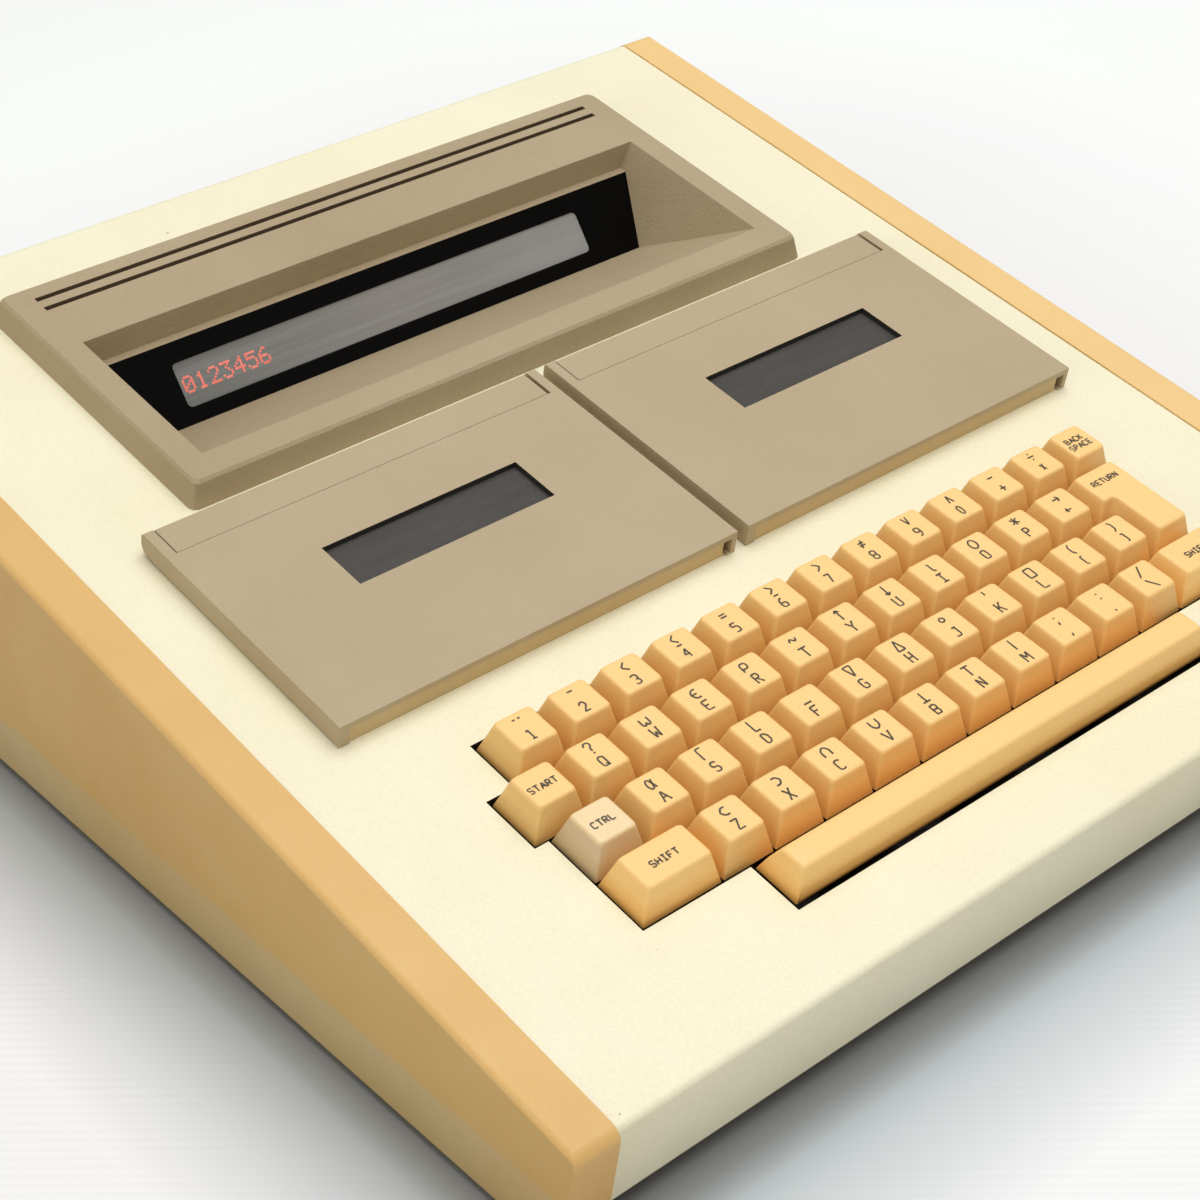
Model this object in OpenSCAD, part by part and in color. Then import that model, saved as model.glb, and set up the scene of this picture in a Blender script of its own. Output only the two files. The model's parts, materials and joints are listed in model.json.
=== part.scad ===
// Desktop computer of the early 1970s: a wedge case with a one-line plasma
// display in a hood, two digital cassette drives and a 51-key keyboard.
// Millimetres. +X right, +Y back, +Z up, origin at the middle of the footprint.
// Most pieces are drawn in the deck's own frame: u right, v up the slope from
// the front edge of the deck, w square out of the deck.

/* [Case] */
// Slope of the deck
tilt = 10; // [7:0.5:12]
// Width of the cream cover between the side panels
deck_w = 340.4; // [336:0.2:348]
// Length of the deck along its slope
deck_len = 395; // [385:1:405]
// Thickness of the moulded cover
cover_wall = 3; // [2.5:0.1:3.4]
// Outside radius where the deck bends into the front wall
bend_r = 4; // [3.5:0.5:6]
// Height of the cover's front wall, square to the deck
front_h = 30; // [27:0.5:32]
// Height of the cover's rear lip
rear_lip_h = 24; // [18:1:30]
// Gap between neighbouring casings
seam = 0.2; // [0.15:0.05:0.4]

/* [Side panels] */
// Width of a side panel at the deck
side_w = 14.5; // [13:0.5:17]
// Height of a side panel's front end, square to the deck
side_h = 35.5; // [34:0.5:38]
// Outward lean of a side panel's outer face
side_flare = 2.5; // [1:0.5:3]
// How far the side panels stand out in front of the cover
side_proud = 1.5; // [1:0.1:2.5]
// How far the side panels stand above the deck
side_lift = 0.6; // [0.4:0.1:1]
// Wall of a side panel
side_wall = 3; // [2.5:0.1:3.5]
// Radius along a side panel's top outer edge
side_edge_r = 2.4; // [1.5:0.1:3]

/* [Base pan and feet] */
// Height of the rubber feet
foot_h = 3; // [2.5:0.5:5]
// Diameter of a foot
foot_d = 18; // [14:1:22]
// Sheet thickness of the steel pan
pan_t = 1.5; // [1.2:0.1:2]
// Height of the pan's side flanges
pan_flange = 14; // [12:1:18]

/* [Keyboard] */
// Distance from key to key
pitch = 19.05; // [19:0.01:19.1]
// Height of the key tops above the deck
key_rise = 10; // [9:0.5:11]
// Depth of a keycap
key_depth = 11.4; // [10.5:0.1:12]
// Width of a single keycap's flat top
key_top = 12.6; // [12:0.1:13.5]
// Gap between neighbouring keycaps at the skirt
key_gap = 0.85; // [0.7:0.05:1]
// Travel of a key
key_travel = 4; // [3:0.1:4.2]
// Wall of a keycap
key_wall = 1.3; // [1.1:0.1:1.5]
// Side of the square key stem
stem = 4; // [3.5:0.1:4.5]
// Clearance of a stem in its switch
stem_gap = 0.2; // [0.15:0.05:0.3]
// Clearance between the key cells and the opening in the deck
key_margin = 0.8; // [0.6:0.1:1.2]
// Slope distance from the front edge to the middle of the number row
number_row_v = 110.7; // [109:0.1:112]
// Depth of the keyboard's circuit board below the deck
key_board_w = 20; // [19.5:0.1:20.5]
// Side of a key switch
switch_size = 14; // [13:0.5:15]

/* [Cassette drives] */
// Distance between the two drives
drive_pitch = 152.1; // [151.5:0.1:154]
// Width of a cassette lid
lid_w = 147.5; // [147:0.1:148]
// Slope distance to a lid's front edge
lid_front_v = 140.5; // [139:0.1:142]
// Length of a lid from its front edge to the seam behind it
lid_l = 84.6; // [84:0.1:86]
// Height of the closed lids above the deck
lid_h = 8; // [7.8:0.1:9]
// Thickness of a lid's plate
lid_plate = 2; // [1.8:0.1:2.2]
// Thickness of a lid's side arms
lid_arm = 3.5; // [3:0.1:3.8]
// Width of a lid's window
lid_window_w = 72.8; // [66:0.1:76]
// Depth of a lid's window along the slope
lid_window_l = 19; // [16:0.5:22]
// Distance from a lid's front edge to the middle of its window
lid_window_front = 53.6; // [52:0.1:55]
// Distance of the window to the right of the lid's middle
lid_window_u = 2; // [0:0.1:3]
// Diameter of a lid's hinge pins
pin_d = 3; // [2.4:0.1:3.4]
// Radial clearance of the pins and spindles
running_gap = 0.05; // [0.03:0.01:0.08]
// Depth of a drive's bay below the deck
bay_depth = 14; // [13:0.5:15]
// Wall of a drive housing
housing_wall = 2.4; // [2:0.1:2.8]
// Distance between the two spindles of a cassette
spindle_pitch = 42.5; // [42:0.1:43]
// Diameter of a spindle's shaft
shaft_d = 3; // [2.5:0.1:4]
// Diameter of a reel motor
motor_d = 28; // [24:1:32]
// Length of a reel motor
motor_l = 24; // [20:1:26]

/* [Display] */
// Height of the hood above the deck
hood_h = 9; // [8.5:0.1:10]
// Width of the hood where it meets the deck
hood_w = 254.4; // [252:0.2:258]
// Gap between the hinge strips and the hood's front foot
hood_gap = 8.2; // [7:0.1:11]
// Length of the hood along the slope
hood_l = 116.8; // [114:0.1:120]
// Draft of the hood's outer walls, over its whole height
hood_draft = 2.2; // [1.5:0.1:3]
// Wall of the hood
hood_wall = 2.5; // [2:0.1:3]
// Width of the hood's mouth
mouth_w = 230.6; // [228:0.2:234]
// Front edge of the mouth, measured from the hood's front foot
mouth_front = 12.9; // [12:0.1:14]
// Length of the mouth along the slope
mouth_l = 66.9; // [65:0.1:68]
// Lean of the display panel against the deck
panel_lean = 45; // [42:0.5:48]
// Height of the part of the panel that shows
panel_h = 27.6; // [26:0.2:29]
// Ledge between the mouth's rear wall and the panel
panel_ledge = 2.9; // [2:0.1:3.5]
// Taper of the mouth's side walls, in mm per mm of depth
mouth_taper = 0.38; // [0.3:0.01:0.45]
// Width of the screen
screen_w = 171.9; // [165:0.1:175]
// Height of the screen
screen_h = 15.6; // [14:0.1:16.5]
// Width of the two slots behind the mouth
louvre_w = 2; // [1.4:0.1:2.4]
// Length of the two slots
louvre_l = 231.5; // [220:0.5:236]

/* [Hidden] */

cream = "#f6f0d2"; mustard = "#e3b872"; taupe = "#b8a688"; key_yellow = "#f3d18a";

// Keys that have a node each: name, row, cells from the keyboard's middle to
// the cap's left edge, and width in cells.
LETTER_ROWS = [
  ["Q", "W", "E", "R", "T", "Y", "U", "I", "O", "P"],
  ["A", "S", "D", "F", "G", "H", "J", "K", "L"],
  ["Z", "X", "C", "V", "B", "N", "M"]
];
ROW_LEFT = [-6.25, -6.75, -6.5, -6.5, -4.5];
ROW_RIGHT = [6.75, 6.5, 6.5, 6.5, 4.5];
LETTER_LEFT = [-5.75, -5.5, -5];
SINGLE_KEYS = concat(
  [["key_backspace", 0, 5.75, 1], ["key_start", 1, -6.75, 1], ["key_return", 1, 5.25, 1.25],
   ["key_ctrl", 2, -6.5, 1], ["key_left_shift", 3, -6.5, 1.5],
   ["key_right_shift", 3, 5, 1.5], ["key_space_bar", 4, -4.5, 9]],
  [for (r = [0:2]) for (i = [0:len(LETTER_ROWS[r]) - 1])
    [str("key_", LETTER_ROWS[r][i]), r + 1, LETTER_LEFT[r] + i, 1]]);
// Keys that share one node: the number row and the signs at the row ends.
SHARED_KEYS = concat(
  [for (i = [0:11]) ["number", 0, -6.25 + i, 1]],
  [["arrow", 1, 4.25, 1], ["open_bracket", 2, 3.5, 1], ["close_bracket", 2, 4.5, 1],
   ["semicolon", 3, 2, 1], ["colon", 3, 3, 1], ["slash", 3, 4, 1]]);
ALL_KEYS = concat(SINGLE_KEYS, SHARED_KEYS);

EPS = 0.01;
lid_seam_v = lid_front_v + lid_l;
lid_window_v = lid_front_v + lid_window_front;
hinge_v = lid_seam_v + 9.5;
strip_rear_v = hinge_v + 2.6;
hood_front_v = strip_rear_v + hood_gap;
hood_rear_v = hood_front_v + hood_l;
deck_z = foot_h + side_h * cos(tilt);
// The side panels are the frontmost and rearmost pieces of the case.
side_front_y = (bend_r + side_edge_r - side_proud) * cos(tilt)
  - (side_lift - bend_r - side_edge_r) * sin(tilt) - bend_r - side_edge_r;
side_rear_y = deck_len * cos(tilt) + side_proud;
deck_y = -(side_front_y + side_rear_y) / 2;
case_rear_y = deck_y + deck_len * cos(tilt);
half_w = deck_w / 2;

// From the case's Y and Z to the deck's v and w
function deck_vw(y, z) = [
  (y - deck_y) * cos(tilt) + (z - deck_z) * sin(tilt),
  (z - deck_z) * cos(tilt) - (y - deck_y) * sin(tilt)];
// v at which a height w reaches a vertical plane at y, and w at which v reaches z
function v_at(y, w) = (y - deck_y + w * sin(tilt)) / cos(tilt);
function w_at(v, z) = (z - deck_z - v * sin(tilt)) / cos(tilt);

function unit(a) = a / norm(a);
// Points of an arc of radius r that rounds corner b between a and c
function fillet(a, b, c, r, n = 6) =
  r <= 0 ? [b] :
  let (p = unit(a - b), q = unit(c - b),
       half = acos(max(-1, min(1, p * q))) / 2,
       mid = b + unit(p + q) * r / sin(half),
       from = b + p * r / tan(half) - mid,
       to = b + q * r / tan(half) - mid,
       a0 = atan2(from[1], from[0]),
       turn = atan2(from[0] * to[1] - from[1] * to[0], from * to))
  [for (i = [0:n]) mid + r * [cos(a0 + turn * i / n), sin(a0 + turn * i / n)]];
// An open path with its inner corners rounded by the radii in r
function round_path(p, r) = concat([p[0]],
  [for (i = [1:len(p) - 2]) each fillet(p[i - 1], p[i], p[i + 1], r[i - 1])],
  [p[len(p) - 1]]);
function reversed(p) = [for (i = [len(p) - 1:-1:0]) p[i]];

module on_deck() {
  translate([0, deck_y, deck_z]) rotate([tilt, 0, 0]) children();
}
// Extrudes a (v, w) outline along u, from u0 to u1
module along_u(u0, u1) {
  translate([u0, 0, 0]) rotate([90, 0, 90]) linear_extrude(u1 - u0) children();
}
module box(u, v, w) {
  translate([u[0], v[0], w[0]]) cube([u[1] - u[0], v[1] - v[0], w[1] - w[0]]);
}
module rod(d, w0, w1, n = 32) {
  translate([0, 0, w0]) cylinder(d = d, h = w1 - w0, $fn = n);
}
// Solid between two outlines with as many points: low at z0 and high at z1
module loft(low, high, z0, z1) {
  n = len(low);
  polyhedron(
    points = concat([for (p = low) [p[0], p[1], z0]], [for (p = high) [p[0], p[1], z1]]),
    faces = concat([[for (i = [0:n - 1]) i]], [[for (i = [n - 1:-1:0]) n + i]],
      [for (i = [0:n - 1]) [i, n + i, n + (i + 1) % n, (i + 1) % n]]),
    convexity = 4);
}
// Rectangle with corners cut by a quarter arc of two chords
function soft_rect(x0, x1, y0, y1, r) = concat(
  [for (c = [[x1 - r, y1 - r, 0], [x0 + r, y1 - r, 90], [x0 + r, y0 + r, 180], [x1 - r, y0 + r, 270]])
    each [for (a = [0, 45, 90]) [c[0] + r * cos(c[2] + a), c[1] + r * sin(c[2] + a)]]]);

// ---- Case ----

// Path of the cover's section, inset by t from its outer face
function cover_path(t) =
  let (rear = case_rear_y - t, lip_z = deck_z + deck_len * sin(tilt) - rear_lip_h)
  round_path([[t, -front_h], [t, -t], [v_at(rear, -t), -t], deck_vw(rear, lip_z)],
    [max(bend_r - t, 0), max(bend_r - t, 0)]);
module cover_band(t) {
  polygon(concat(cover_path(0), reversed(cover_path(t))));
}

cover_flange = 15;
cover_flange_t = 2.5;
post_d = 7;
// Keyboard circuit board: half its width, and its front and rear edge
key_board_half = 6.72 * pitch;
key_board_v = [row_v(4) - pitch / 2 - 1, row_v(0) + 23.3];
post_edge = 6;
board_posts = concat(
  [for (u = [-1, 0, 1]) [u * (key_board_half - post_edge), key_board_v[1] - post_edge]],
  [for (u = [-1, 1]) [u * (key_board_half - post_edge), key_board_v[0] + post_edge]]);
// Posts of the hood, measured from its front foot
hood_post_u = 108;
hood_post_v = [8, hood_l - 24.4];
hood_posts = [for (s = [-1, 1]) for (v = hood_post_v) [s * hood_post_u, v]];
vent_margin = 4;

module top_cover() {
  color(cream) on_deck() difference() {
    union() {
      along_u(-half_w, half_w) cover_band(cover_wall);
      for (s = [-1, 1])
        along_u(s > 0 ? half_w - cover_flange_t : -half_w, s > 0 ? half_w : cover_flange_t - half_w)
          cover_band(cover_flange);
      for (p = board_posts)
        translate([p[0], p[1], 0]) rod(post_d, -key_board_w, -cover_wall / 2);
    }
    translate([0, 0, -cover_wall - 1]) linear_extrude(cover_wall + 2) keyboard_opening();
    for (s = [-1, 1]) translate([s * drive_pitch / 2, 0, 0])
      box([-bay_out - seam, bay_out + seam], [bay_front_v - seam, bay_rear_v + seam],
        [-cover_wall - 1, 1]);
    translate([0, 0, -cover_wall - 1]) linear_extrude(cover_wall + 2) hood_opening();
    for (p = board_posts)
      translate([p[0], p[1], 0]) rod(screw_d, -key_board_w - 1, -cover_wall - 1);
    for (p = hood_posts)
      translate([p[0], hood_front_v + p[1], 0]) rod(screw_d, -cover_wall - 1, 1);
    for (s = [-1, 1]) for (p = housing_screws)
      translate([s * drive_pitch / 2 + p[0], p[1], 0]) rod(screw_d, -cover_wall - 1, 1);
    for (x = rear_screws) rear_screw_hole(x, cover_wall);
  }
}

// The opening steps with the ends of the key rows.
bar_margin = 0.2;
module keyboard_opening() {
  for (r = [0:4])
    let (front = r == 4 ? bar_margin : key_margin)
    translate([ROW_LEFT[r] * pitch - key_margin, row_v(r) - pitch / 2 - front])
      square([(ROW_RIGHT[r] - ROW_LEFT[r]) * pitch + 2 * key_margin,
        pitch + key_margin + front]);
}
// Room for the display's funnel, and a vent below the two slots
module hood_opening() {
  translate([-mouth_w / 2 - vent_margin, hood_front_v + mouth_front + 5])
    square([mouth_w + 2 * vent_margin, mouth_l + 1]);
  translate([-louvre_l / 2, louvre_v - louvre_step - vent_margin / 2])
    square([louvre_l, louvre_step + vent_margin]);
}

// Outline of a side panel, inset by t, as a closed path in the deck's frame
function side_outline(t) =
  let (front = t - side_proud, top = side_lift - t, low = foot_h + t,
       rear = case_rear_y + side_proud - t, r = max(bend_r + side_edge_r - t, 0.5))
  concat([[front, w_at(front, low)]],
    fillet([front, -side_h], [front, top], [front + 100, top], r),
    fillet([front, top], [v_at(rear, top), top], deck_vw(rear, low), r),
    [deck_vw(rear, low)]);
// Section of a side panel across the slope: top outer edge round, outer face leaning
function side_section(t, inner) =
  let (top = side_lift - t, u = side_w - t / cos(side_flare), low = -150,
       lean = tan(side_flare))
  concat([[inner, low], [u + lean * (top - low), low]],
    fillet([u + lean * (top - low), low], [u, top], [inner, top], max(side_edge_r - t, 0.4)),
    [[inner, top]]);
module side_form(t, inner) {
  intersection() {
    along_u(inner, 3 * side_w) polygon(side_outline(t));
    translate([0, -50, 0]) rotate([-90, 0, 0]) linear_extrude(deck_len + 100)
      polygon([for (p = side_section(t, inner)) [p[0], -p[1]]]);
  }
}
// Bosses that take the screws from inside the case: place along the case, height.
// They reach past the cover's side flange to the pan.
side_bosses = [[-150, 9], [0, 9], [150, 9]];
boss_d = 8;
boss_reach = cover_flange_t + 2 * seam;
side_ribs = [70, 160, 250, 340];
module side_boss_rods(d, u0, u1) {
  for (b = side_bosses) translate([0, b[0], b[1]]) rotate([0, 90, 0]) rod(d, u0, u1);
}
module side_panel() {
  difference() {
    on_deck() union() {
      difference() {
        side_form(0, 0);
        side_form(side_wall, -1);
      }
      intersection() {
        side_form(side_wall / 2, 0);
        for (v = side_ribs) box([0, 3 * side_w], [v, v + 2], [-150, 0]);
      }
    }
  }
  difference() {
    union() {
      intersection() {
        on_deck() side_form(side_wall / 2, 0);
        side_boss_rods(boss_d, 0, 3 * side_w);
      }
      side_boss_rods(boss_d, -boss_reach, EPS);
    }
    side_boss_rods(screw_d, -boss_reach - 1, 9);
  }
}
module left_side_panel() {
  color(mustard) mirror([1, 0, 0]) translate([half_w + seam, 0, 0]) side_panel();
}
module right_side_panel() {
  color(mustard) translate([half_w + seam, 0, 0]) side_panel();
}

// Sheet steel: front flange behind the cover's wall, floor, and rear panel
screw_d = 3;
pan_bend = 2.5;
pan_front_v = cover_wall + seam;
pan_rear_y = case_rear_y - cover_wall - seam;
pan_side_x = half_w - cover_flange_t - seam;
pan_top_z = deck_z + deck_len * sin(tilt) - cover_wall - 8;
function pan_path(t) =
  let (front = pan_front_v + t, low = foot_h + t, rear = pan_rear_y - t,
       r = max(pan_bend - t, 0.5))
  round_path([[front, -10], [front, w_at(front, low)], deck_vw(rear, low),
    deck_vw(rear, pan_top_z)], [r, r]);

feet = [[-140, -150], [140, -150], [-140, 160], [140, 160]];
board_z = foot_h + pan_t + 6;
// Main circuit board: half its width, and its front and rear edge
main_board_half = half_w - 20.2;
main_board_y = [deck_y + 53, deck_y + 215];
standoffs = [for (y = [main_board_y[0] + 7, main_board_y[1] - 8]) for (s = [-1, 0, 1])
  [s * (main_board_half - 8), y]];
inlet_x = -125;
switch_x = -78;
socket_x = 95;
socket_z = 34;
rear_vents = [-30, -22, -14, -6, 2, 10, 18, 26];
vent_w = 4;
floor_vents_y = [26, 44];
module base_pan() {
  color("#3a3632") difference() {
    union() {
      on_deck() along_u(-pan_side_x, pan_side_x)
        polygon(concat(pan_path(0), reversed(pan_path(pan_t))));
      for (s = [-1, 1])
        box(s > 0 ? [pan_side_x - pan_t, pan_side_x] : [-pan_side_x, pan_t - pan_side_x],
          [deck_y + 22, pan_rear_y - pan_bend - 0.5], [foot_h + pan_t / 2, foot_h + pan_flange]);
      for (p = standoffs) translate([p[0], p[1], 0]) rod(6, foot_h + pan_t / 2, board_z);
    }
    for (p = feet) translate([p[0], p[1], 0]) rod(screw_d, 0, foot_h + pan_t + 1);
    for (p = standoffs)
      translate([p[0], p[1], 0]) rod(screw_d, foot_h + pan_t + 1, board_z + 1);
    on_deck() for (x = rear_screws) rear_screw_hole(x, 2 * cover_wall);
    for (b = side_bosses)
      translate([-half_w, b[0], b[1]]) rotate([0, 90, 0]) rod(screw_d, 0, deck_w);
    for (p = psu_screws) translate([p[0], p[1], 0]) rod(screw_d, 0, foot_h + pan_t + 1);
    for (s = [-1, 1]) for (i = [-3:3]) for (y = floor_vents_y)
      translate([s * 90 + i * 14 - vent_w / 2, y, 0]) cube([vent_w, 14, foot_h + pan_t + 1]);
    rear_cutouts();
  }
}
// Seats of the sockets and the switch in the rear panel, its vents and screw holes
inlet_flange = [48, 23];
inlet_body = [27.2, 19.8];
inlet_mouth = [24, 16];
inlet_depth = 16;
switch_flange = [32, 26];
switch_body = [27.6, 21.8];
socket_flange = [78, 16];
socket_body = [62, 12];
socket_slot = [56, 5.2];
socket_screw_u = 35;
rear_screws = [-150, -50, 50, 150];
rear_screw_z = pan_top_z - 6;
// A hole through the lip and the rear panel, square to them
module rear_screw_hole(x, depth) {
  place = deck_vw(case_rear_y, rear_screw_z);
  translate([x, place[0], place[1]]) rotate([-90 - tilt, 0, 0]) rod(screw_d, -depth - 1, 1);
}
module rear_cutouts() {
  for (c = [[inlet_x, inlet_body], [switch_x, switch_body], [socket_x, socket_body]])
    translate([c[0], pan_rear_y, socket_z])
      box([-c[1][0] / 2 - seam, c[1][0] / 2 + seam], [-pan_t - 1, 1],
        [-c[1][1] / 2 - seam, c[1][1] / 2 + seam]);
  for (x = rear_vents) box([x, x + vent_w], [pan_rear_y - 3, pan_rear_y + 1], [20, 70]);
}
module rubber_feet() {
  color("#1d1c1b") for (p = feet) translate([p[0], p[1], 0]) difference() {
    rotate_extrude($fn = 48)
      polygon([[0, 0], [foot_d / 2 - 1, 0], [foot_d / 2, foot_h], [0, foot_h]]);
    rod(screw_d, -1, foot_h + 1);
    rod(screw_head + 1.4, -1, foot_recess);
  }
}
// Block of a width and height, from y0 to y1
module rear_block(size, y0, y1) {
  box([-size[0] / 2, size[0] / 2], [y0, y1], [-size[1] / 2, size[1] / 2]);
}
// Power inlet with three pins, frame of the switch, and an edge socket
module rear_sockets() {
  color("#222") {
    translate([inlet_x, pan_rear_y, socket_z]) {
      difference() {
        union() {
          rear_block(inlet_flange, 0, 3);
          rear_block(inlet_body, -inlet_depth, 1);
        }
        rear_block(inlet_mouth, 1.5 - inlet_depth, 4);
      }
      for (p = [[-7, 2], [0, -2], [7, 2]])
        box([p[0] - 1, p[0] + 1], [1 - inlet_depth, -inlet_depth / 2], [p[1] - 2.5, p[1] + 2.5]);
    }
    translate([switch_x, pan_rear_y, socket_z]) difference() {
      union() {
        rear_block(switch_flange, 0, 2);
        rear_block(switch_body, -18, 1);
      }
      rear_block([2 * rocker_out, 18], -16, 3);
      translate([0, rocker_y, 0]) rotate([0, 90, 0])
        rod(rocker_axle + 2 * running_gap, -rocker_out - axle_in, rocker_out + axle_in, 48);
    }
    translate([socket_x, pan_rear_y, socket_z]) difference() {
      union() {
        rear_block(socket_flange, 0, 2);
        rear_block(socket_body, -14, 4);
      }
      rear_block(socket_slot, -11, 7);
      for (s = [-1, 1])
        translate([s * socket_screw_u, 0, 0]) rotate([-90, 0, 0]) rod(screw_d, -1, 3);
    }
  }
}
// Rocker with stub axles in its frame, stored in the off position
rocker_y = -1;
rocker_rock = 9;
rocker_out = 11;
rocker_axle = 3;
axle_in = 1.6;
module power_switch() {
  color("#b3261e") translate([switch_x, pan_rear_y + rocker_y, socket_z])
    rotate([-rocker_rock, 0, 0]) {
      along_u(0.3 - rocker_out, rocker_out - 0.3)
        polygon([[-5, -3], [-2, -7.8], [3.4, -8], [2.2, 0], [3.4, 8], [-2, 7.8], [-5, 3]]);
      rotate([0, 90, 0])
        rod(rocker_axle, 0.2 - rocker_out - axle_in, rocker_out + axle_in - 0.2, 48);
    }
}
psu = [[-150, -56], [62, 132], [foot_h + pan_t, 44]];
psu_ear = 8;
psu_ear_t = 2;
psu_screws = [for (x = [psu[0][0] - psu_ear / 2, psu[0][1] + psu_ear / 2])
  for (y = [psu[1][0] + 10, psu[1][1] - 10]) [x, y]];
module power_supply() {
  color("#8f9296") difference() {
    union() {
      box(psu[0], psu[1], psu[2]);
      box([psu[0][0] - psu_ear, psu[0][1] + psu_ear], psu[1], [psu[2][0], psu[2][0] + psu_ear_t]);
    }
    for (p = psu_screws) translate([p[0], p[1], 0]) rod(screw_d, 1, psu[2][0] + psu_ear_t + 1);
    for (i = [0:9]) box([psu[0][0] + 10 + i * 8, psu[0][0] + 13 + i * 8],
      [psu[1][0] + 10, psu[1][1] - 10], [psu[2][1] - 1.5, psu[2][1] + 1]);
  }
}

// ---- Circuit boards ----
board_t = 1.6;
chip = [19, 7, 3.6];
chip_pitch = [28, 26];
module circuit_boards() {
  color("#2f6a3a") {
    on_deck() difference() {
      box([-key_board_half, key_board_half], key_board_v, [-key_board_w - board_t, -key_board_w]);
      for (p = board_posts)
        translate([p[0], p[1], 0]) rod(screw_d + 0.2, -key_board_w - 3, -key_board_w + 1);
    }
    difference() {
      box([-main_board_half, main_board_half], main_board_y, [board_z, board_z + board_t]);
      for (p = standoffs) translate([p[0], p[1], 0]) rod(screw_d, board_z - 1, board_z + 3);
    }
    for (i = [0:9]) for (j = [0:5])
      translate([i * chip_pitch[0] - main_board_half + 20,
        main_board_y[0] + 14 + j * chip_pitch[1], board_z + board_t])
        cube([chip[0], chip[1], chip[2]]);
    on_panel() difference() {
      box([-display_board_half, display_board_half], [screen_low - 5.5, tube_top],
        [-display_board_z - board_t, -display_board_z]);
      for (p = panel_posts)
        translate([p[0], p[1], 0]) rod(screw_d, -display_board_z - 3, -display_board_z + 1);
    }
  }
}

// ---- Display ----
mouth_v0 = hood_front_v + mouth_front;
mouth_v1 = mouth_v0 + mouth_l;
mouth_deep = 40;
ledge_depth = 10;
panel_v1 = mouth_v1 - panel_ledge;
panel_w1 = hood_h - ledge_depth;
panel_up = [cos(panel_lean), sin(panel_lean)];
panel_low = [panel_v1, panel_w1] - panel_h * panel_up;
panel_back = [panel_up[1], -panel_up[0]];
louvre_v = hood_rear_v - 9.7;
louvre_step = 5.7;
bezel_t = 2;
bezel_lap = 3;
display_board_z = 14.4;
// The screen lies a little left of the middle of the panel.
screen_mid = -1.9;
screen_low = -8.5;
screen_r = 1.6;
tube_half = screen_w / 2 + 7;
tube_top = screen_low + screen_h + 2.9;
tube_t = 8;
display_board_half = tube_half + 11;
panel_posts = [for (s = [-1, 1]) for (y = [-8, 4]) [s * (tube_half + 5.5), y]];
// Frame in the middle of the panel: y up the panel, z out of it
module on_panel() {
  on_deck() translate([0, panel_low[0] + panel_h / 2 * panel_up[0],
    panel_low[1] + panel_h / 2 * panel_up[1]]) rotate([panel_lean, 0, 0]) children();
}
hood_edge = 1;
module hood_block(t, low, high) {
  function outline(w) =
    let (d = t + hood_draft * w / hood_h + (w > high - EPS && t == 0 ? hood_edge * 0.7 : 0))
    soft_rect(d - hood_w / 2, hood_w / 2 - d, hood_front_v + d, hood_rear_v - d, 2.5);
  loft(outline(low), outline(high - hood_edge), low, high - hood_edge);
  loft(outline(high - hood_edge), outline(high), high - hood_edge, high);
}
slope_dir = unit(panel_low - [mouth_v0, hood_h]);
slope_out = [slope_dir[1], -slope_dir[0]];
// Space of the mouth, a little past its rim and past the panel's plane
function mouth_space() = [[mouth_v0, hood_h] - 2 * slope_dir,
  [mouth_v1, hood_h + 2], [mouth_v1, panel_w1], [panel_v1, panel_w1],
  [panel_v1, panel_w1 - 1.5], panel_low + 1.5 * slope_dir];
// Funnel round that space, cut off at the panel's plane
function funnel_section(t) = [[mouth_v0, hood_h] + t * slope_out,
  panel_low + t / (panel_up * slope_out) * panel_up, [panel_v1, panel_w1],
  [panel_v1, panel_w1 - t], [mouth_v1 + t, panel_w1 - t], [mouth_v1 + t, hood_h - t / 2],
  [mouth_v0 + t, hood_h - t / 2]];
function mouth_half(w) = mouth_w / 2 - mouth_taper * (hood_h - w);
module between_mouth_sides(t) {
  intersection() {
    children();
    translate([0, hood_front_v, 0]) rotate([-90, 0, 0]) linear_extrude(hood_rear_v - hood_front_v)
      polygon([for (p = [[-1, 2 * hood_h], [1, 2 * hood_h], [1, -mouth_deep], [-1, -mouth_deep]])
        [p[0] * (mouth_half(p[1]) + t), -p[1]]]);
  }
}
module display_hood() {
  color(taupe) on_deck() difference() {
    union() {
      difference() {
        hood_block(0, 0, hood_h);
        hood_block(hood_wall, -1, hood_h - hood_wall);
      }
      between_mouth_sides(hood_wall) along_u(-half_w, half_w)
        polygon(funnel_section(hood_wall));
      for (p = hood_posts)
        translate([p[0], hood_front_v + p[1], 0]) rod(post_d, 0, hood_h - 1);
    }
    between_mouth_sides(0) along_u(-half_w, half_w) polygon(mouth_space());
    for (i = [0, 1])
      translate([-louvre_l / 2, louvre_v - i * louvre_step - louvre_w / 2, hood_h - hood_wall - 1])
        cube([louvre_l, louvre_w, hood_wall + 2]);
    for (p = hood_posts)
      translate([p[0], hood_front_v + p[1], 0]) rod(screw_d, -1, 6);
  }
}
bezel_gap = 0.1;
module display_bezel() {
  low = panel_low - bezel_lap * panel_up;
  top = [panel_v1, panel_w1] - bezel_gap * panel_up;
  back = bezel_t * panel_back;
  color("#111") {
    difference() {
      on_deck() along_u(-mouth_w / 2, mouth_w / 2)
        polygon([top, low, low + back, top + back - back[0] / panel_up[0] * panel_up]);
      on_panel() screen_block(0, -5, 5);
    }
    for (p = panel_posts) on_panel() translate([p[0], p[1], 0]) difference() {
      rod(5, -display_board_z, -bezel_t / 2 - 0.2);
      rod(screw_d, -display_board_z - 1, -bezel_t - 3);
    }
  }
}
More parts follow.
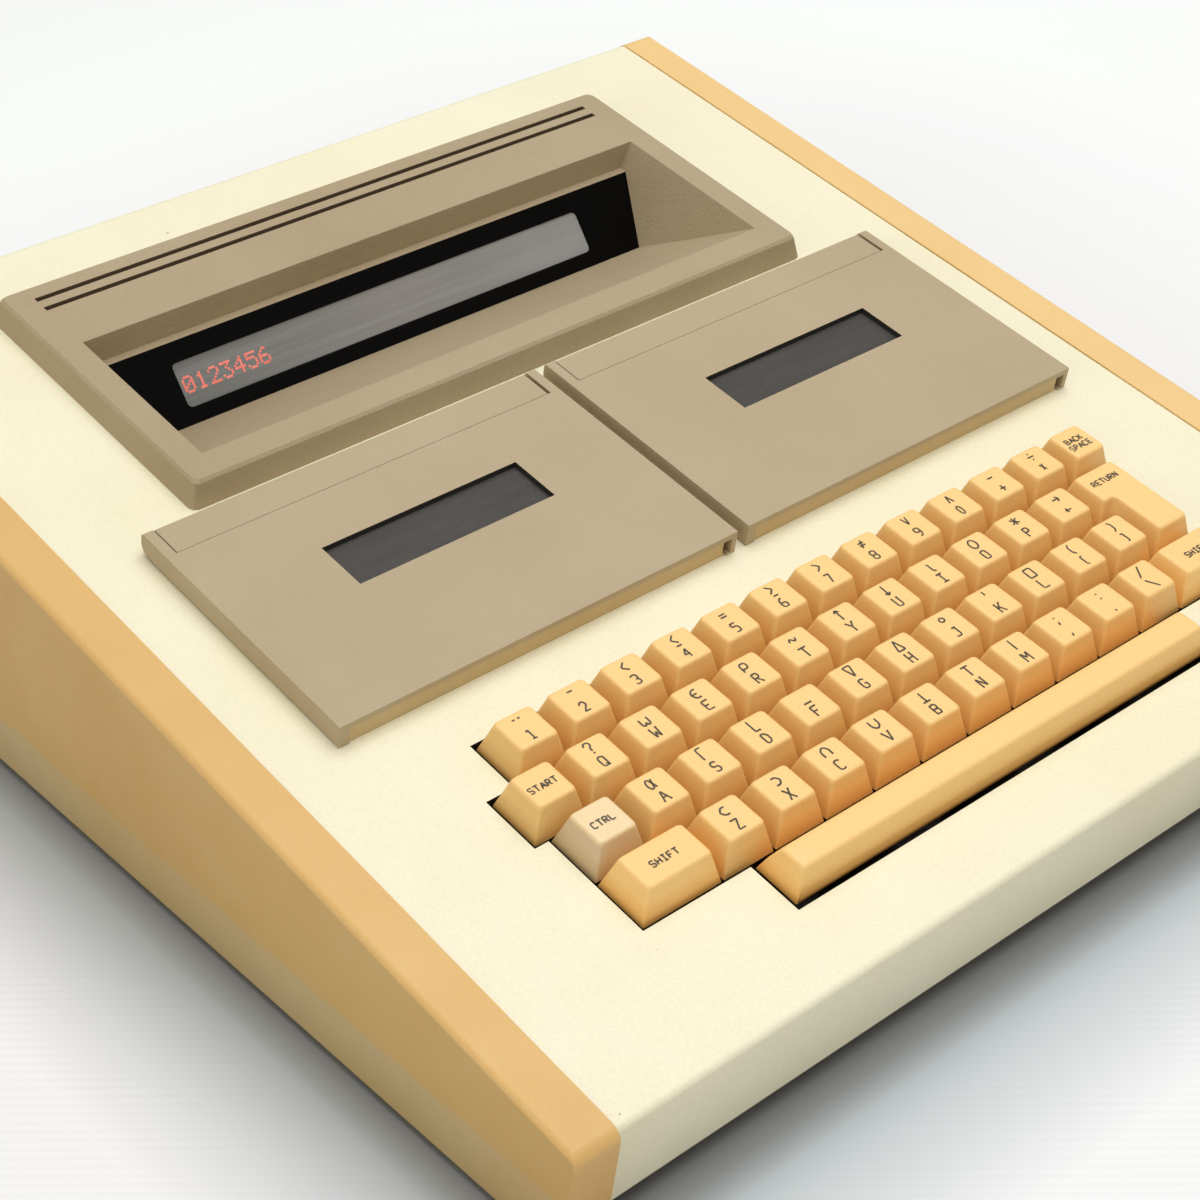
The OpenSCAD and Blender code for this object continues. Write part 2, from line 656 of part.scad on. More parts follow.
// Block of the screen's outline, inset by d, from z0 to z1
module screen_block(d, z0, z1) {
  translate([screen_mid, screen_low, z0]) linear_extrude(z1 - z0)
    polygon(soft_rect(d - screen_w / 2, screen_w / 2 - d, d, screen_h - d, screen_r));
}
tube_pins = 11;
tube_pin = 0.8;
module display_tube() {
  pin_step = (tube_half - 16) / tube_pins;
  color("#6f716e") on_panel() {
    box([screen_mid - tube_half, screen_mid + tube_half], [screen_low - 5, tube_top],
      [-bezel_t - tube_t, -bezel_t]);
    screen_block(seam, -bezel_t - 1, -bezel_t + 1.2);
    for (s = [-1, 1]) for (i = [0:tube_pins])
      translate([screen_mid + s * (12 + i * pin_step), 0, 0])
        box([-tube_pin / 2, tube_pin / 2], [-2.4, tube_pin - 2.4],
          [-display_board_z, -bezel_t - tube_t + 0.5]);
  }
}

// ---- Cassette drives, drawn about the middle of one drive ----
arm_gap = 0.4;
base_out = lid_w / 2 - lid_arm - arm_gap;
base_step = 1.4;
bay_out = base_out - base_step;
base_front_v = lid_front_v + 0.6;
bay_front_v = base_front_v + base_step;
bay_in = bay_out - housing_wall;
bay_rear_v = lid_seam_v + 1;
lid_rest = 0.1;
lid_low = lid_h - lid_plate;
ear_r = 3.4;
hinge_w = lid_h - ear_r;
ear_low = 1.5;
arm_low = 0.3;
// The lid's rear edge turns about the hinge, clear of the strip behind it.
strip_r = norm([hinge_v - lid_seam_v - 0.2, lid_h - hinge_w]);
lid_sweep_r = strip_r + 0.4;
housing_screws = [[-50, strip_rear_v - 5], [50, strip_rear_v - 5]];
// Notch at the right end of a drive's front, partly in the base and partly in
// the lid's arm, and the gap at the right end of the hinge strip
notch_u = [base_out - 0.8, lid_w / 2 - 1.9];
notch_v = 12;
notch_low = 0.8;
strip_short = 0.8;
module front_notch(v) {
  box(notch_u, [lid_front_v - 1, v + notch_v], [notch_low, lid_low]);
}
module in_drive(s) {
  on_deck() translate([s * drive_pitch / 2, 0, 0]) children();
}
module drive_housing() {
  difference() {
    union() {
      box([-base_out, base_out], [base_front_v, lid_seam_v], [0, lid_low - lid_rest]);
      box([-bay_out, bay_out], [bay_front_v, bay_rear_v], [-bay_depth, 1]);
      box([-base_out, base_out - strip_short], [lid_seam_v + 0.2, strip_rear_v], [0, lid_h]);
    }
    front_notch(base_front_v);
    box([-bay_in, bay_in], [bay_front_v + housing_wall, bay_rear_v - housing_wall],
      [-bay_depth - 1, lid_h + 1]);
    for (s = [-1, 1]) translate([s * base_out, hinge_v, hinge_w]) rotate([0, 90, 0])
      rod(pin_d, -pin_in, pin_in);
    for (p = housing_screws) translate([p[0], p[1], 0]) rod(screw_d, -1, 5.5);
  }
}
module drive_housings() {
  color("#a98f63") for (s = [-1, 1]) in_drive(s) drive_housing();
}
pin_in = 8;
// Each arm is closed outside its pin hole, and the pin ends short of it.
arm_skin = 1.2;
pin_short = 0.4;
module lid_hinge_pins() {
  color("#c9ccd0") for (s = [-1, 1]) in_drive(s) for (e = [-1, 1])
    translate([e * base_out, hinge_v, hinge_w]) rotate([0, 90 * e, 0])
      rod(pin_d, -pin_in, lid_arm + arm_gap - arm_skin - pin_short, 48);
}
// Side view of an arm, whose rear end is rounded and rises off the deck
function arm_profile() =
  let (rear = hinge_v + ear_r)
  round_path([[lid_front_v, arm_low], [hinge_v - 8, arm_low], [rear, ear_low],
    [rear, lid_h], [lid_front_v, lid_h]], [0, 2.9, 1.4]);
module cassette_lid() {
  edge = lid_w / 2;
  difference() {
    union() {
      box([-edge, edge], [lid_front_v, lid_seam_v + 1], [lid_low, lid_h]);
      for (s = [-1, 1]) translate([s > 0 ? edge - lid_arm : -edge, 0, 0])
        along_u(0, lid_arm) polygon(arm_profile());
    }
    front_notch(lid_front_v);
    // Clearance of the strip between the arms, and the holes for the pins
    translate([0, hinge_v, hinge_w]) rotate([0, 90, 0])
      rod(2 * lid_sweep_r, -base_out - arm_gap, base_out + arm_gap, 128);
    translate([0, hinge_v, hinge_w]) rotate([0, 90, 0])
      rod(pin_d + 2 * running_gap, arm_skin - edge, edge - arm_skin, 48);
    box([lid_window_u - lid_window_w / 2, lid_window_u + lid_window_w / 2],
      [lid_window_v - lid_window_l / 2, lid_window_v + lid_window_l / 2], [0, lid_h + 1]);
  }
}
window_lap = 2.4;
window_t = 1.5;
module lid_window() {
  half = lid_window_w / 2 + window_lap;
  box([lid_window_u - half, lid_window_u + half],
    [lid_window_v - lid_window_l / 2 - window_lap, lid_window_v + lid_window_l / 2 + window_lap],
    [lid_low - window_t, lid_low]);
}
module left_cassette_lid() { color(taupe) in_drive(-1) cassette_lid(); }
module right_cassette_lid() { color(taupe) in_drive(1) cassette_lid(); }
module left_lid_window() { color("#57544f") in_drive(-1) lid_window(); }
module right_lid_window() { color("#57544f") in_drive(1) lid_window(); }

plate_t = 2;
spindle_v = lid_window_v;
head_v = bay_front_v + housing_wall + 13;
pad_v = head_v + 16;
module drive_plates() {
  color("#b9bcc0") for (s = [-1, 1]) in_drive(s) {
    difference() {
      box([-bay_out, bay_out], [bay_front_v, bay_rear_v], [-bay_depth - plate_t, -bay_depth]);
      for (e = [-1, 1]) translate([e * spindle_pitch / 2, spindle_v, 0])
        rod(shaft_d + 2 * running_gap, -bay_depth - plate_t - 1, -bay_depth + 1, 48);
    }
    // Head block with the tape head and two guide posts
    box([-14, 14], [head_v - 5, head_v + 2], [-bay_depth, -bay_depth + 5]);
    translate([0, head_v, 0]) rod(11, -bay_depth + 4.5, -bay_depth + 12);
    for (e = [-1, 1]) translate([e * 33, head_v + 3, 0]) {
      rod(4, -bay_depth, -bay_depth + 11);
      rod(6, -bay_depth, -bay_depth + 1.5);
    }
    for (e = [-1, 1]) translate([e * 46, pad_v, 0]) rod(5, -bay_depth, -bay_depth + 3);
  }
}
motor_top = -bay_depth - plate_t;
module drive_motors() {
  color("#75787c") for (s = [-1, 1]) in_drive(s) for (e = [-1, 1])
    translate([e * spindle_pitch / 2, spindle_v, 0]) difference() {
      union() {
        rod(motor_d, motor_top - motor_l, motor_top, 64);
        rod(10, motor_top - motor_l - 2, motor_top, 48);
      }
      rod(shaft_d + 2 * running_gap, motor_top - 12, motor_top + 1, 48);
    }
}
// Reel spindle: shaft into the motor, flange, splined hub and pointed tip
spindle_lift = 0.3;
spindle_top = -4;
splines = 6;
module spindle(s, e) {
  color("#e8e4da") in_drive(s) translate([e * spindle_pitch / 2, spindle_v, 0]) {
    low = -bay_depth + spindle_lift;
    rotate_extrude($fn = 48) polygon([[0, motor_top - 11.5], [shaft_d / 2, motor_top - 11.5],
      [shaft_d / 2, low], [8, low], [8, low + 1.4], [3.6, low + 1.4], [3.6, spindle_top - 2],
      [1.6, spindle_top], [0, spindle_top]]);
    for (i = [0:splines - 1]) rotate([0, 0, i * 360 / splines])
      box([3, 4.7], [-0.6, 0.6], [low + 1, spindle_top - 2.6]);
  }
}
module left_supply_spindle() { spindle(-1, -1); }
module left_takeup_spindle() { spindle(-1, 1); }
module right_supply_spindle() { spindle(1, -1); }
module right_takeup_spindle() { spindle(1, 1); }

// ---- Keyboard ----
function row_v(r) = number_row_v - r * pitch;
function key_u(k) = (k[2] + k[3] / 2) * pitch;
key_low = key_rise - key_depth;
top_inset = (pitch - key_top) / 2;
skirt_inset = key_gap / 2;
space_rear_inset = 6.4;
// The space bar's skirt ends level with the deck.
bar_low = 0;
// Corners of a cap's outline, inset by d from its cells
function cap_outline(k, d, rear, r) =
  let (u0 = k[2] * pitch + d, u1 = (k[2] + k[3]) * pitch - d, v = row_v(k[1]))
  soft_rect(u0, u1, v - pitch / 2 + d, v + pitch / 2 - rear, r);
// Return: a wide cell in its own row and a narrower one below it
function return_outline(k, d) =
  let (u0 = k[2] * pitch + d, u1 = (k[2] + k[3]) * pitch - d, v = row_v(k[1]),
       u2 = (k[2] + 0.25) * pitch + d, rear = v + pitch / 2 - d, low = v - 1.5 * pitch + d,
       step = v - pitch / 2 + d, c = 0.5)
  [[u1 - c, rear], [u0 + c, rear], [u0, rear - c], [u0, step + c], [u0 + c, step],
   [u2, step], [u2, low + c], [u2 + c, low], [u1 - c, low], [u1, low + c], [u1, rear - c]];
function outline_of(k, d, rear, r) =
  k[0] == "key_return" ? return_outline(k, d) : cap_outline(k, d, rear, r);
function stems_of(k) =
  k[0] == "key_return" ? [[(k[2] + 0.75) * pitch, row_v(1.5)]] :
  k[0] == "key_space_bar" ? [for (i = [-1, 0, 1]) [i * 50, row_v(4)]] :
  [[key_u(k), row_v(k[1])]];
module keycap(k) {
  rear = k[0] == "key_space_bar" ? space_rear_inset : top_inset;
  wall = key_wall;
  difference() {
    loft(outline_of(k, skirt_inset, skirt_inset, 1), outline_of(k, top_inset, rear, 1.2),
      key_low, key_rise);
    loft(outline_of(k, skirt_inset + wall, skirt_inset + wall, 0.8),
      outline_of(k, top_inset + wall, rear + wall, 0.8), key_low - EPS, key_rise - 1.6);
    if (k[0] == "key_space_bar") box([k[2] * pitch, (k[2] + k[3]) * pitch],
      [row_v(4) - pitch / 2, row_v(4) + pitch / 2], [key_low - 1, bar_low]);
  }
  for (p = stems_of(k)) translate([p[0], p[1], 0])
    box([-stem / 2, stem / 2], [-stem / 2, stem / 2], [stem_low, key_rise - 1.2]);
}
stem_low = -12;
switch_top = -8;
module key_switches() {
  color("#2b2a28") on_deck() for (k = ALL_KEYS) for (p = stems_of(k))
    translate([p[0], p[1], 0]) difference() {
      union() {
        box([-switch_size / 2, switch_size / 2], [-switch_size / 2, switch_size / 2],
          [-key_board_w, switch_top]);
        box([-switch_size / 2 - 0.8, switch_size / 2 + 0.8],
          [-switch_size / 2 - 0.8, switch_size / 2 + 0.8], [switch_top - 3, switch_top - 2]);
      }
      box([-stem / 2 - stem_gap, stem / 2 + stem_gap], [-stem / 2 - stem_gap, stem / 2 + stem_gap],
        [stem_low - key_travel - 1, switch_top + 1]);
    }
}
module number_and_sign_keys() {
  color(key_yellow) on_deck() for (k = SHARED_KEYS) keycap(k);
}
module single_key(k) {
  color(k[0] == "key_ctrl" ? "#efe0b8" : key_yellow) on_deck() keycap(k);
}

// ---- Fasteners ----
screw_head = 5.6;
screw_head_h = 1.2;
foot_recess = 1.6;
// Seated at w = 0 with its head above
module screw(l) {
  rod(screw_head, 0, screw_head_h, 24);
  rod(screw_d - 0.4, -l, 0.1, 16);
}
// The same with its head below
module screw_up(l) {
  rotate([180, 0, 0]) screw(l);
}
module assembly_screws() {
  color("#6b6e72") {
    for (p = feet) translate([p[0], p[1], foot_recess]) screw_up(foot_h + 2);
    for (s = [-1, 1]) for (b = side_bosses)
      translate([s * (pan_side_x - pan_t), b[0], b[1]]) rotate([0, -90 * s, 0]) screw(9);
    for (p = standoffs) translate([p[0], p[1], board_z + board_t]) screw(5);
    for (p = psu_screws) translate([p[0], p[1], psu[2][0] + psu_ear_t]) screw(5);
    for (x = rear_screws)
      translate([x, case_rear_y, rear_screw_z]) rotate([-90, 0, 0]) screw(8);
    on_deck() {
      for (p = board_posts) translate([p[0], p[1], -key_board_w - board_t]) screw_up(9);
      for (p = hood_posts) translate([p[0], hood_front_v + p[1], -cover_wall]) screw_up(8);
      for (s = [-1, 1]) for (p = housing_screws)
        translate([s * drive_pitch / 2 + p[0], p[1], -cover_wall]) screw_up(8);
    }
    on_panel() for (p = panel_posts)
      translate([p[0], p[1], -display_board_z - board_t]) screw_up(7);
  }
}

top_cover();
left_side_panel();
right_side_panel();
base_pan();
rubber_feet();
rear_sockets();
power_switch();
power_supply();
circuit_boards();
display_hood();
display_bezel();
display_tube();
drive_housings();
drive_plates();
drive_motors();
lid_hinge_pins();
left_cassette_lid();
right_cassette_lid();
left_lid_window();
right_lid_window();
left_supply_spindle();
left_takeup_spindle();
right_supply_spindle();
right_takeup_spindle();
key_switches();
assembly_screws();
number_and_sign_keys();
for (k = SINGLE_KEYS)
  single_key(k);
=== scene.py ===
"""Looks of the desktop computer: softened casings, drafted keycaps with their legends, the lit
display, contacts and screw heads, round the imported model.

Shapes are worked out in millimetres in the deck's frame: u to the right, v up the slope from
the deck's front edge, w square out of the deck. place() turns them to the model's metres.
"""
import json
import math

import bmesh
import bpy
import numpy as np
from mathutils import Matrix, Vector

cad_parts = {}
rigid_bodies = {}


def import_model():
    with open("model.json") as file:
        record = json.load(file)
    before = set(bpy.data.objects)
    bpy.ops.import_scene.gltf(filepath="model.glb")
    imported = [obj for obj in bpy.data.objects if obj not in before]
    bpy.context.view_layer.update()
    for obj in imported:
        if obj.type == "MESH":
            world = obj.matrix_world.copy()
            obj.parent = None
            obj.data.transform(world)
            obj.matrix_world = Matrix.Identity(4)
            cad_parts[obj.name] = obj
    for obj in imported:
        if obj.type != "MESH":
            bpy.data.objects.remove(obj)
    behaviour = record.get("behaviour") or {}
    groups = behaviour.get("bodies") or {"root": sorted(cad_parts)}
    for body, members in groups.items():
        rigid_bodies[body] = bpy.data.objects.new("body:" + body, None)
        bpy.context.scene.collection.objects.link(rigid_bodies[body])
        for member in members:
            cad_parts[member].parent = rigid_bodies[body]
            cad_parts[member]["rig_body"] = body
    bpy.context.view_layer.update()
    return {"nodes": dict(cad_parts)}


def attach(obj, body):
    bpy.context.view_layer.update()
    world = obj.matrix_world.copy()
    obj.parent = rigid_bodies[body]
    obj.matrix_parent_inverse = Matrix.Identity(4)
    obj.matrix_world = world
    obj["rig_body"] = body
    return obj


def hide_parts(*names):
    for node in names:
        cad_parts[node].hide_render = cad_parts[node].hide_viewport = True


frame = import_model()
nodes = frame["nodes"]

TILT = math.radians(10)
DECK_Y, DECK_Z = -194.966, 37.961
REAR_Y = 190.833
# Height of the deck's plane along its own normal, in metres
DECK_UP = (DECK_Z * math.cos(TILT) - DECK_Y * math.sin(TILT)) / 1000
PITCH = 19.05
KEY_LOW, KEY_TOP = -1.4, 10.0
HOOD_TOP = 9.0
DRIVES = {"left": -76.05, "right": 76.05}
# The two slots behind the display: the pair's front and rear, and half its length
SLOTS_FRONT, SLOTS_REAR, SLOTS_HALF = 342, 356, 117
# Smooth shading ends at edges sharper than this, on new pieces and on softened casings
MADE_SHARP, CASING_SHARP = math.radians(40), math.radians(60)
# Edges of a casing that are sharper than this are rounded
ROUNDED_FROM = math.radians(28)


# ---- Frames ----

def place(points):
    """Deck points to the model: turned about X by the slope, moved to the deck's front edge."""
    p = np.asarray(points, float)
    y = DECK_Y + p[..., 1] * math.cos(TILT) - p[..., 2] * math.sin(TILT)
    z = DECK_Z + p[..., 1] * math.sin(TILT) + p[..., 2] * math.cos(TILT)
    return np.stack([p[..., 0], y, z], -1) / 1000


def deck_of(points):
    """The model's metres back to the deck's u, v and w."""
    p = np.asarray(points, float) * 1000 - [0.0, DECK_Y, DECK_Z]
    return np.stack([p[..., 0], p[..., 1] * math.cos(TILT) + p[..., 2] * math.sin(TILT),
                     p[..., 2] * math.cos(TILT) - p[..., 1] * math.sin(TILT)])


PANEL_UP = np.array([math.cos(math.radians(45)), math.sin(math.radians(45))])
PANEL_MIDDLE = np.array([322.3, -1.0]) - 13.8 * PANEL_UP


def place_on_panel(points):
    """Display panel points (x right, y up the panel, z out of it) to the model's metres."""
    p = np.asarray(points, float)
    v = PANEL_MIDDLE[0] + p[..., 1] * PANEL_UP[0] - p[..., 2] * PANEL_UP[1]
    w = PANEL_MIDDLE[1] + p[..., 1] * PANEL_UP[1] + p[..., 2] * PANEL_UP[0]
    return place(np.stack([p[..., 0], v, w], -1))


# ---- Meshes ----

def new_object(name, data):
    """A new object in the scene, of a mesh, a lamp or a camera."""
    thing = bpy.data.objects.new(name, data)
    bpy.context.scene.collection.objects.link(thing)
    return thing


def made(name, points, faces, material, body):
    """A new piece from points in metres and faces as index rows, riding on a body."""
    mesh = bpy.data.meshes.new(name)
    mesh.from_pydata(np.asarray(points).tolist(), [], [list(map(int, f)) for f in faces])
    mesh.validate()
    shape = bmesh.new()
    shape.from_mesh(mesh)
    bmesh.ops.remove_doubles(shape, verts=shape.verts, dist=1e-7)
    if all(edge.is_manifold for edge in shape.edges):
        bmesh.ops.recalc_face_normals(shape, faces=shape.faces)
    shape.to_mesh(mesh)
    shape.free()
    mesh.polygons.foreach_set("use_smooth", np.ones(len(mesh.polygons), bool))
    mesh.set_sharp_from_angle(angle=MADE_SHARP)
    mesh.materials.append(material)
    piece = new_object(name, mesh)
    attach(piece, body)
    return piece


def ring_faces(rings, n, first=0):
    """Quads between each closed ring of n points and the next."""
    i = np.arange(n)
    row = np.stack([i, (i + 1) % n, (i + 1) % n + n, i + n], -1)
    return (row[None] + first + n * np.arange(rings - 1)[:, None, None]).reshape(-1, 4)


def joined(parts):
    """One point array and one face list from several."""
    points, faces, count = [], [], 0
    for p, f in parts:
        points.append(np.asarray(p, float).reshape(-1, 3))
        faces += [[int(i) + count for i in face] for face in f]
        count += len(points[-1])
    return np.concatenate(points), faces


def blocks(centres, size):
    """Boxes of one size about each centre: the eight corners are centre plus or minus half."""
    corner = np.array([[x, y, z] for x in (-1, 1) for y in (-1, 1) for z in (-1, 1)]) / 2
    points = np.asarray(centres, float)[:, None] + corner * np.asarray(size, float)
    face = np.array([[0, 1, 3, 2], [4, 6, 7, 5], [0, 4, 5, 1], [2, 3, 7, 6], [0, 2, 6, 4],
                     [1, 5, 7, 3]])
    faces = face[None] + 8 * np.arange(len(points))[:, None, None]
    return points.reshape(-1, 3), faces.reshape(-1, 4)


def softened(node, width, material, zone=None, share=None, reshape=None):
    """The node's own shape with its sharp edges rounded to a radius of about width (mm), or to
    the share of it that share(u, v, w) gives at an edge's middle. The zone is a material and
    a test of u, v and w: faces whose middle passes the test get that material instead.
    reshape(u, v, w) gives the corners' places anew, before the rounding."""
    mesh = nodes[node].data.copy()
    mesh.name = node + "_soft"
    shape = bmesh.new()
    shape.from_mesh(mesh)
    bmesh.ops.remove_doubles(shape, verts=shape.verts, dist=2e-6)
    bmesh.ops.dissolve_limit(shape, angle_limit=math.radians(0.6), verts=shape.verts,
                             edges=shape.edges)
    if reshape:
        anew = place(np.stack(reshape(*deck_of([vert.co for vert in shape.verts])), -1))
        for vert, spot in zip(shape.verts, anew):
            vert.co = spot
    weight = shape.edges.layers.float.new("bevel_weight_edge")
    sharp = [edge for edge in shape.edges
             if edge.is_manifold and edge.calc_face_angle(0) > ROUNDED_FROM]
    middles = np.array([(edge.verts[0].co + edge.verts[1].co) / 2 for edge in sharp])
    shares = share(*deck_of(middles)) if share else np.ones(len(sharp))
    for edge, part in zip(sharp, shares):
        edge[weight] = float(part)
    shape.to_mesh(mesh)
    shape.free()
    if mesh.has_custom_normals:
        mesh.attributes.remove(mesh.attributes["custom_normal"])
    mesh.polygons.foreach_set("use_smooth", np.ones(len(mesh.polygons), bool))
    mesh.set_sharp_from_angle(angle=CASING_SHARP)
    mesh.materials.clear()
    mesh.materials.append(material)
    if zone:
        middles = np.empty(3 * len(mesh.polygons))
        mesh.polygons.foreach_get("center", middles)
        mesh.materials.append(zone[0])
        inside = zone[1](*deck_of(middles.reshape(-1, 3)))
        mesh.polygons.foreach_set("material_index", inside.astype(np.int32))
    piece = new_object(node + "_soft", mesh)
    bevel = piece.modifiers.new("rounding", "BEVEL")
    bevel.width = width / 1000
    bevel.segments = 3
    bevel.limit_method = "WEIGHT"
    bevel.use_clamp_overlap = True
    flat = piece.modifiers.new("flat_areas", "WEIGHTED_NORMAL")
    flat.keep_sharp = False
    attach(piece, nodes[node]["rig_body"])
    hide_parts(node)
    return piece


# ---- Materials ----

def socket(group, name, way, kind, default=None):
    """A new way into or out of a shader group."""
    made_socket = group.interface.new_socket(name=name, in_out=way, socket_type=kind)
    if default is not None:
        made_socket.default_value = default


def colour(code):
    """Linear red, green and blue of a hex colour, with alpha."""
    parts = [int(code[i:i + 2], 16) / 255 for i in (1, 3, 5)]
    return tuple(c / 12.92 if c <= 0.04045 else ((c + 0.055) / 1.055) ** 2.4
                 for c in parts) + (1.0,)


class Tree:
    """A small hand for adding nodes and links to a node tree."""

    def __init__(self, tree):
        self.tree = tree

    def add(self, kind, inputs=None, **settings):
        node = self.tree.nodes.new(kind)
        for key, value in settings.items():
            setattr(node, key, value)
        self.feed(node, inputs or {})
        return node

    def feed(self, node, inputs):
        """Give a node's inputs their values, or links where a value is a node's output."""
        for key, value in inputs.items():
            target = node.inputs[key]
            if isinstance(value, bpy.types.NodeSocket):
                self.tree.links.new(value, target)
            else:
                target.default_value = value

    def maths(self, operation, *values):
        return self.add("ShaderNodeMath", dict(enumerate(values)),
                        operation=operation).outputs[0]

    def noise(self, place_in, scale, detail=2.0, roughness=0.5):
        return self.add("ShaderNodeTexNoise",
                        {"Vector": place_in, "Scale": scale, "Detail": detail,
                         "Roughness": roughness}).outputs["Fac"]

    def between(self, value, low, high, to_low=0.0, to_high=1.0):
        return self.add("ShaderNodeMapRange",
                        {"Value": value, "From Min": low, "From Max": high, "To Min": to_low,
                         "To Max": to_high}, clamp=True).outputs[0]

    def mixed(self, factor, a, b, blend="MIX"):
        return self.add("ShaderNodeMix", {0: factor, 6: a, 7: b}, data_type="RGBA",
                        blend_type=blend).outputs[2]

    def toned(self, shade, tone):
        """The shade with its red, green and blue times the tone."""
        grey = self.add("ShaderNodeCombineColor", dict.fromkeys(range(3), tone)).outputs[0]
        return self.mixed(1.0, shade, grey, "MULTIPLY")

    def deck_height(self, spot):
        """How far a place lies along the deck's normal, in metres: place . normal."""
        normal = (0, -math.sin(TILT), math.cos(TILT))
        return self.add("ShaderNodeVectorMath", {0: spot, 1: normal},
                        operation="DOT_PRODUCT").outputs["Value"]


RESULTS = {"Colour": "NodeSocketColor", "Roughness": "NodeSocketFloat",
           "Height": "NodeSocketFloat"}


def new_group(name, values):
    """A shader group's tree, and what it is given: a place and the named values with their
    defaults. It gives a colour, a roughness and a height."""
    group = bpy.data.node_groups.new(name, "ShaderNodeTree")
    socket(group, "Place", "INPUT", "NodeSocketVector")
    for key, value in values.items():
        kind = "NodeSocketFloat" if isinstance(value, float) else "NodeSocketColor"
        socket(group, key, "INPUT", kind, value)
    for key, kind in RESULTS.items():
        socket(group, key, "OUTPUT", kind)
    t = Tree(group)
    return t, t.add("NodeGroupInput").outputs


def closed_group(t, *results):
    """The group, once its colour, roughness and height are linked to its way out."""
    t.add("NodeGroupOutput", dict(zip(RESULTS, results)))
    return t.tree


def moulded_group():
    """Moulded plastic: slow shade changes, a fine pebbled grain, small specks of dirt."""
    t, given = new_group("moulded_plastic", {
        "Colour": (0.8, 0.8, 0.8, 1), "Aged colour": (0.7, 0.6, 0.4, 1), "Ageing": 0.2,
        "Grain scale": 900.0, "Grain": 0.5, "Roughness": 0.5, "Specks": 0.3})
    spot = given["Place"]
    slow = t.noise(spot, 14.0, 3.0, 0.55)
    ageing = t.maths("MULTIPLY", t.between(slow, 0.35, 0.68), given["Ageing"])
    shade = t.mixed(ageing, given["Colour"], given["Aged colour"])
    fine = t.noise(spot, given["Grain scale"], 2.0, 0.6)
    shade = t.toned(shade, t.between(fine, 0.3, 0.7, 0.965, 1.03))
    cell = t.add("ShaderNodeTexVoronoi", {"Vector": spot, "Scale": 95.0, "Randomness": 1.0})
    size = t.between(t.noise(spot, 21.0, 1.0), 0.55, 0.8, 0.0, 0.075)
    speck = t.maths("LESS_THAN", cell.outputs["Distance"], size)
    speck = t.maths("MULTIPLY", speck, given["Specks"])
    shade = t.mixed(speck, shade, (0.12, 0.075, 0.04, 1))
    rough = t.maths("ADD", given["Roughness"],
                    t.between(t.noise(spot, 55.0, 3.0), 0.3, 0.7, -0.06, 0.06))
    pebbles = t.add("ShaderNodeTexVoronoi",
                    {"Vector": spot, "Scale": given["Grain scale"]}, feature="SMOOTH_F1")
    height = t.maths("MULTIPLY", t.maths("ADD", pebbles.outputs["Distance"], fine),
                     given["Grain"])
    return closed_group(t, shade, rough, height)


def metal_group():
    """Sheet metal: streaks drawn along one axis, with faint blotches."""
    t, given = new_group("drawn_metal", {"Colour": (0.6, 0.6, 0.62, 1), "Roughness": 0.35,
                                         "Streaks": 0.5})
    stretched = t.add("ShaderNodeMapping", {"Vector": given["Place"],
                                            "Scale": (60.0, 1800.0, 1800.0)}).outputs[0]
    streak = t.noise(stretched, 1.0, 3.0)
    blotch = t.noise(given["Place"], 40.0, 3.0)
    tone = t.maths("MULTIPLY", t.between(streak, 0.3, 0.7, 0.88, 1.08),
                   t.between(blotch, 0.3, 0.7, 0.975, 1.02))
    shade = t.toned(given["Colour"], tone)
    rough = t.maths("ADD", given["Roughness"], t.between(blotch, 0.3, 0.7, -0.02, 0.025))
    return closed_group(t, shade, rough, t.maths("MULTIPLY", streak, given["Streaks"]))


MOULDED = moulded_group()
METAL = metal_group()


def new_material(name):
    """A new material with its tree, its shader and the place in the object's own space."""
    material = bpy.data.materials.new(name)
    material.use_nodes = True
    t = Tree(material.node_tree)
    shader = material.node_tree.nodes["Principled BSDF"]
    return material, t, shader, t.add("ShaderNodeTexCoord").outputs["Object"]


def dressed(name, group, given, bump=0.3, **sockets):
    """A material whose colour, roughness and bump come from a shared group."""
    material, t, shader, spot = new_material(name)
    effect = t.add("ShaderNodeGroup", {"Place": spot, **given}, node_tree=group)
    relief = t.add("ShaderNodeBump", {"Strength": bump, "Distance": 0.0002,
                                      "Height": effect.outputs["Height"]})
    t.feed(shader, {"Base Color": effect.outputs["Colour"],
                    "Roughness": effect.outputs["Roughness"],
                    "Normal": relief.outputs["Normal"]})
    t.feed(shader, {key.replace("_", " "): value for key, value in sockets.items()})
    return material


def opened(material):
    """A dressed material's tree, its group's node and the place in the object's own space."""
    found = {node.type: node for node in material.node_tree.nodes}
    return Tree(material.node_tree), found["GROUP"], found["TEX_COORD"].outputs["Object"]


def plastic(name, code, aged, ageing=0.3, grain_scale=900.0, grain=0.5, rough=0.5, specks=0.3,
            bump=0.3, **sockets):
    """Moulded plastic of one colour that goes over to the aged one in places."""
    return dressed(name, MOULDED, {"Colour": colour(code), "Aged colour": colour(aged),
                                   "Ageing": ageing, "Grain scale": grain_scale,
                                   "Grain": grain, "Roughness": rough, "Specks": specks},
                   bump, **sockets)


def keycap_plastic(name, top, side, foot):
    """Keycap plastic by height over the deck: a pale top, golden sides, a deeper foot. The golden
    sides and deeper foot are painted shade and reflected light between the keys.
    """
    material = plastic(name, side, side, 0.0, 1600.0, 0.3, 0.48, 0.1, 0.08)
    t, effect, spot = opened(material)
    up = t.maths("SUBTRACT", t.deck_height(spot), DECK_UP)
    # Painted shade and reflected light: the sides go golden and the foot deeper towards the deck
    flank = t.mixed(t.between(up, 0.0, 0.0055), colour(foot), colour(side))
    t.feed(effect, {"Colour": t.mixed(t.between(up, 0.0083, 0.0097), flank, colour(top))})
    return material


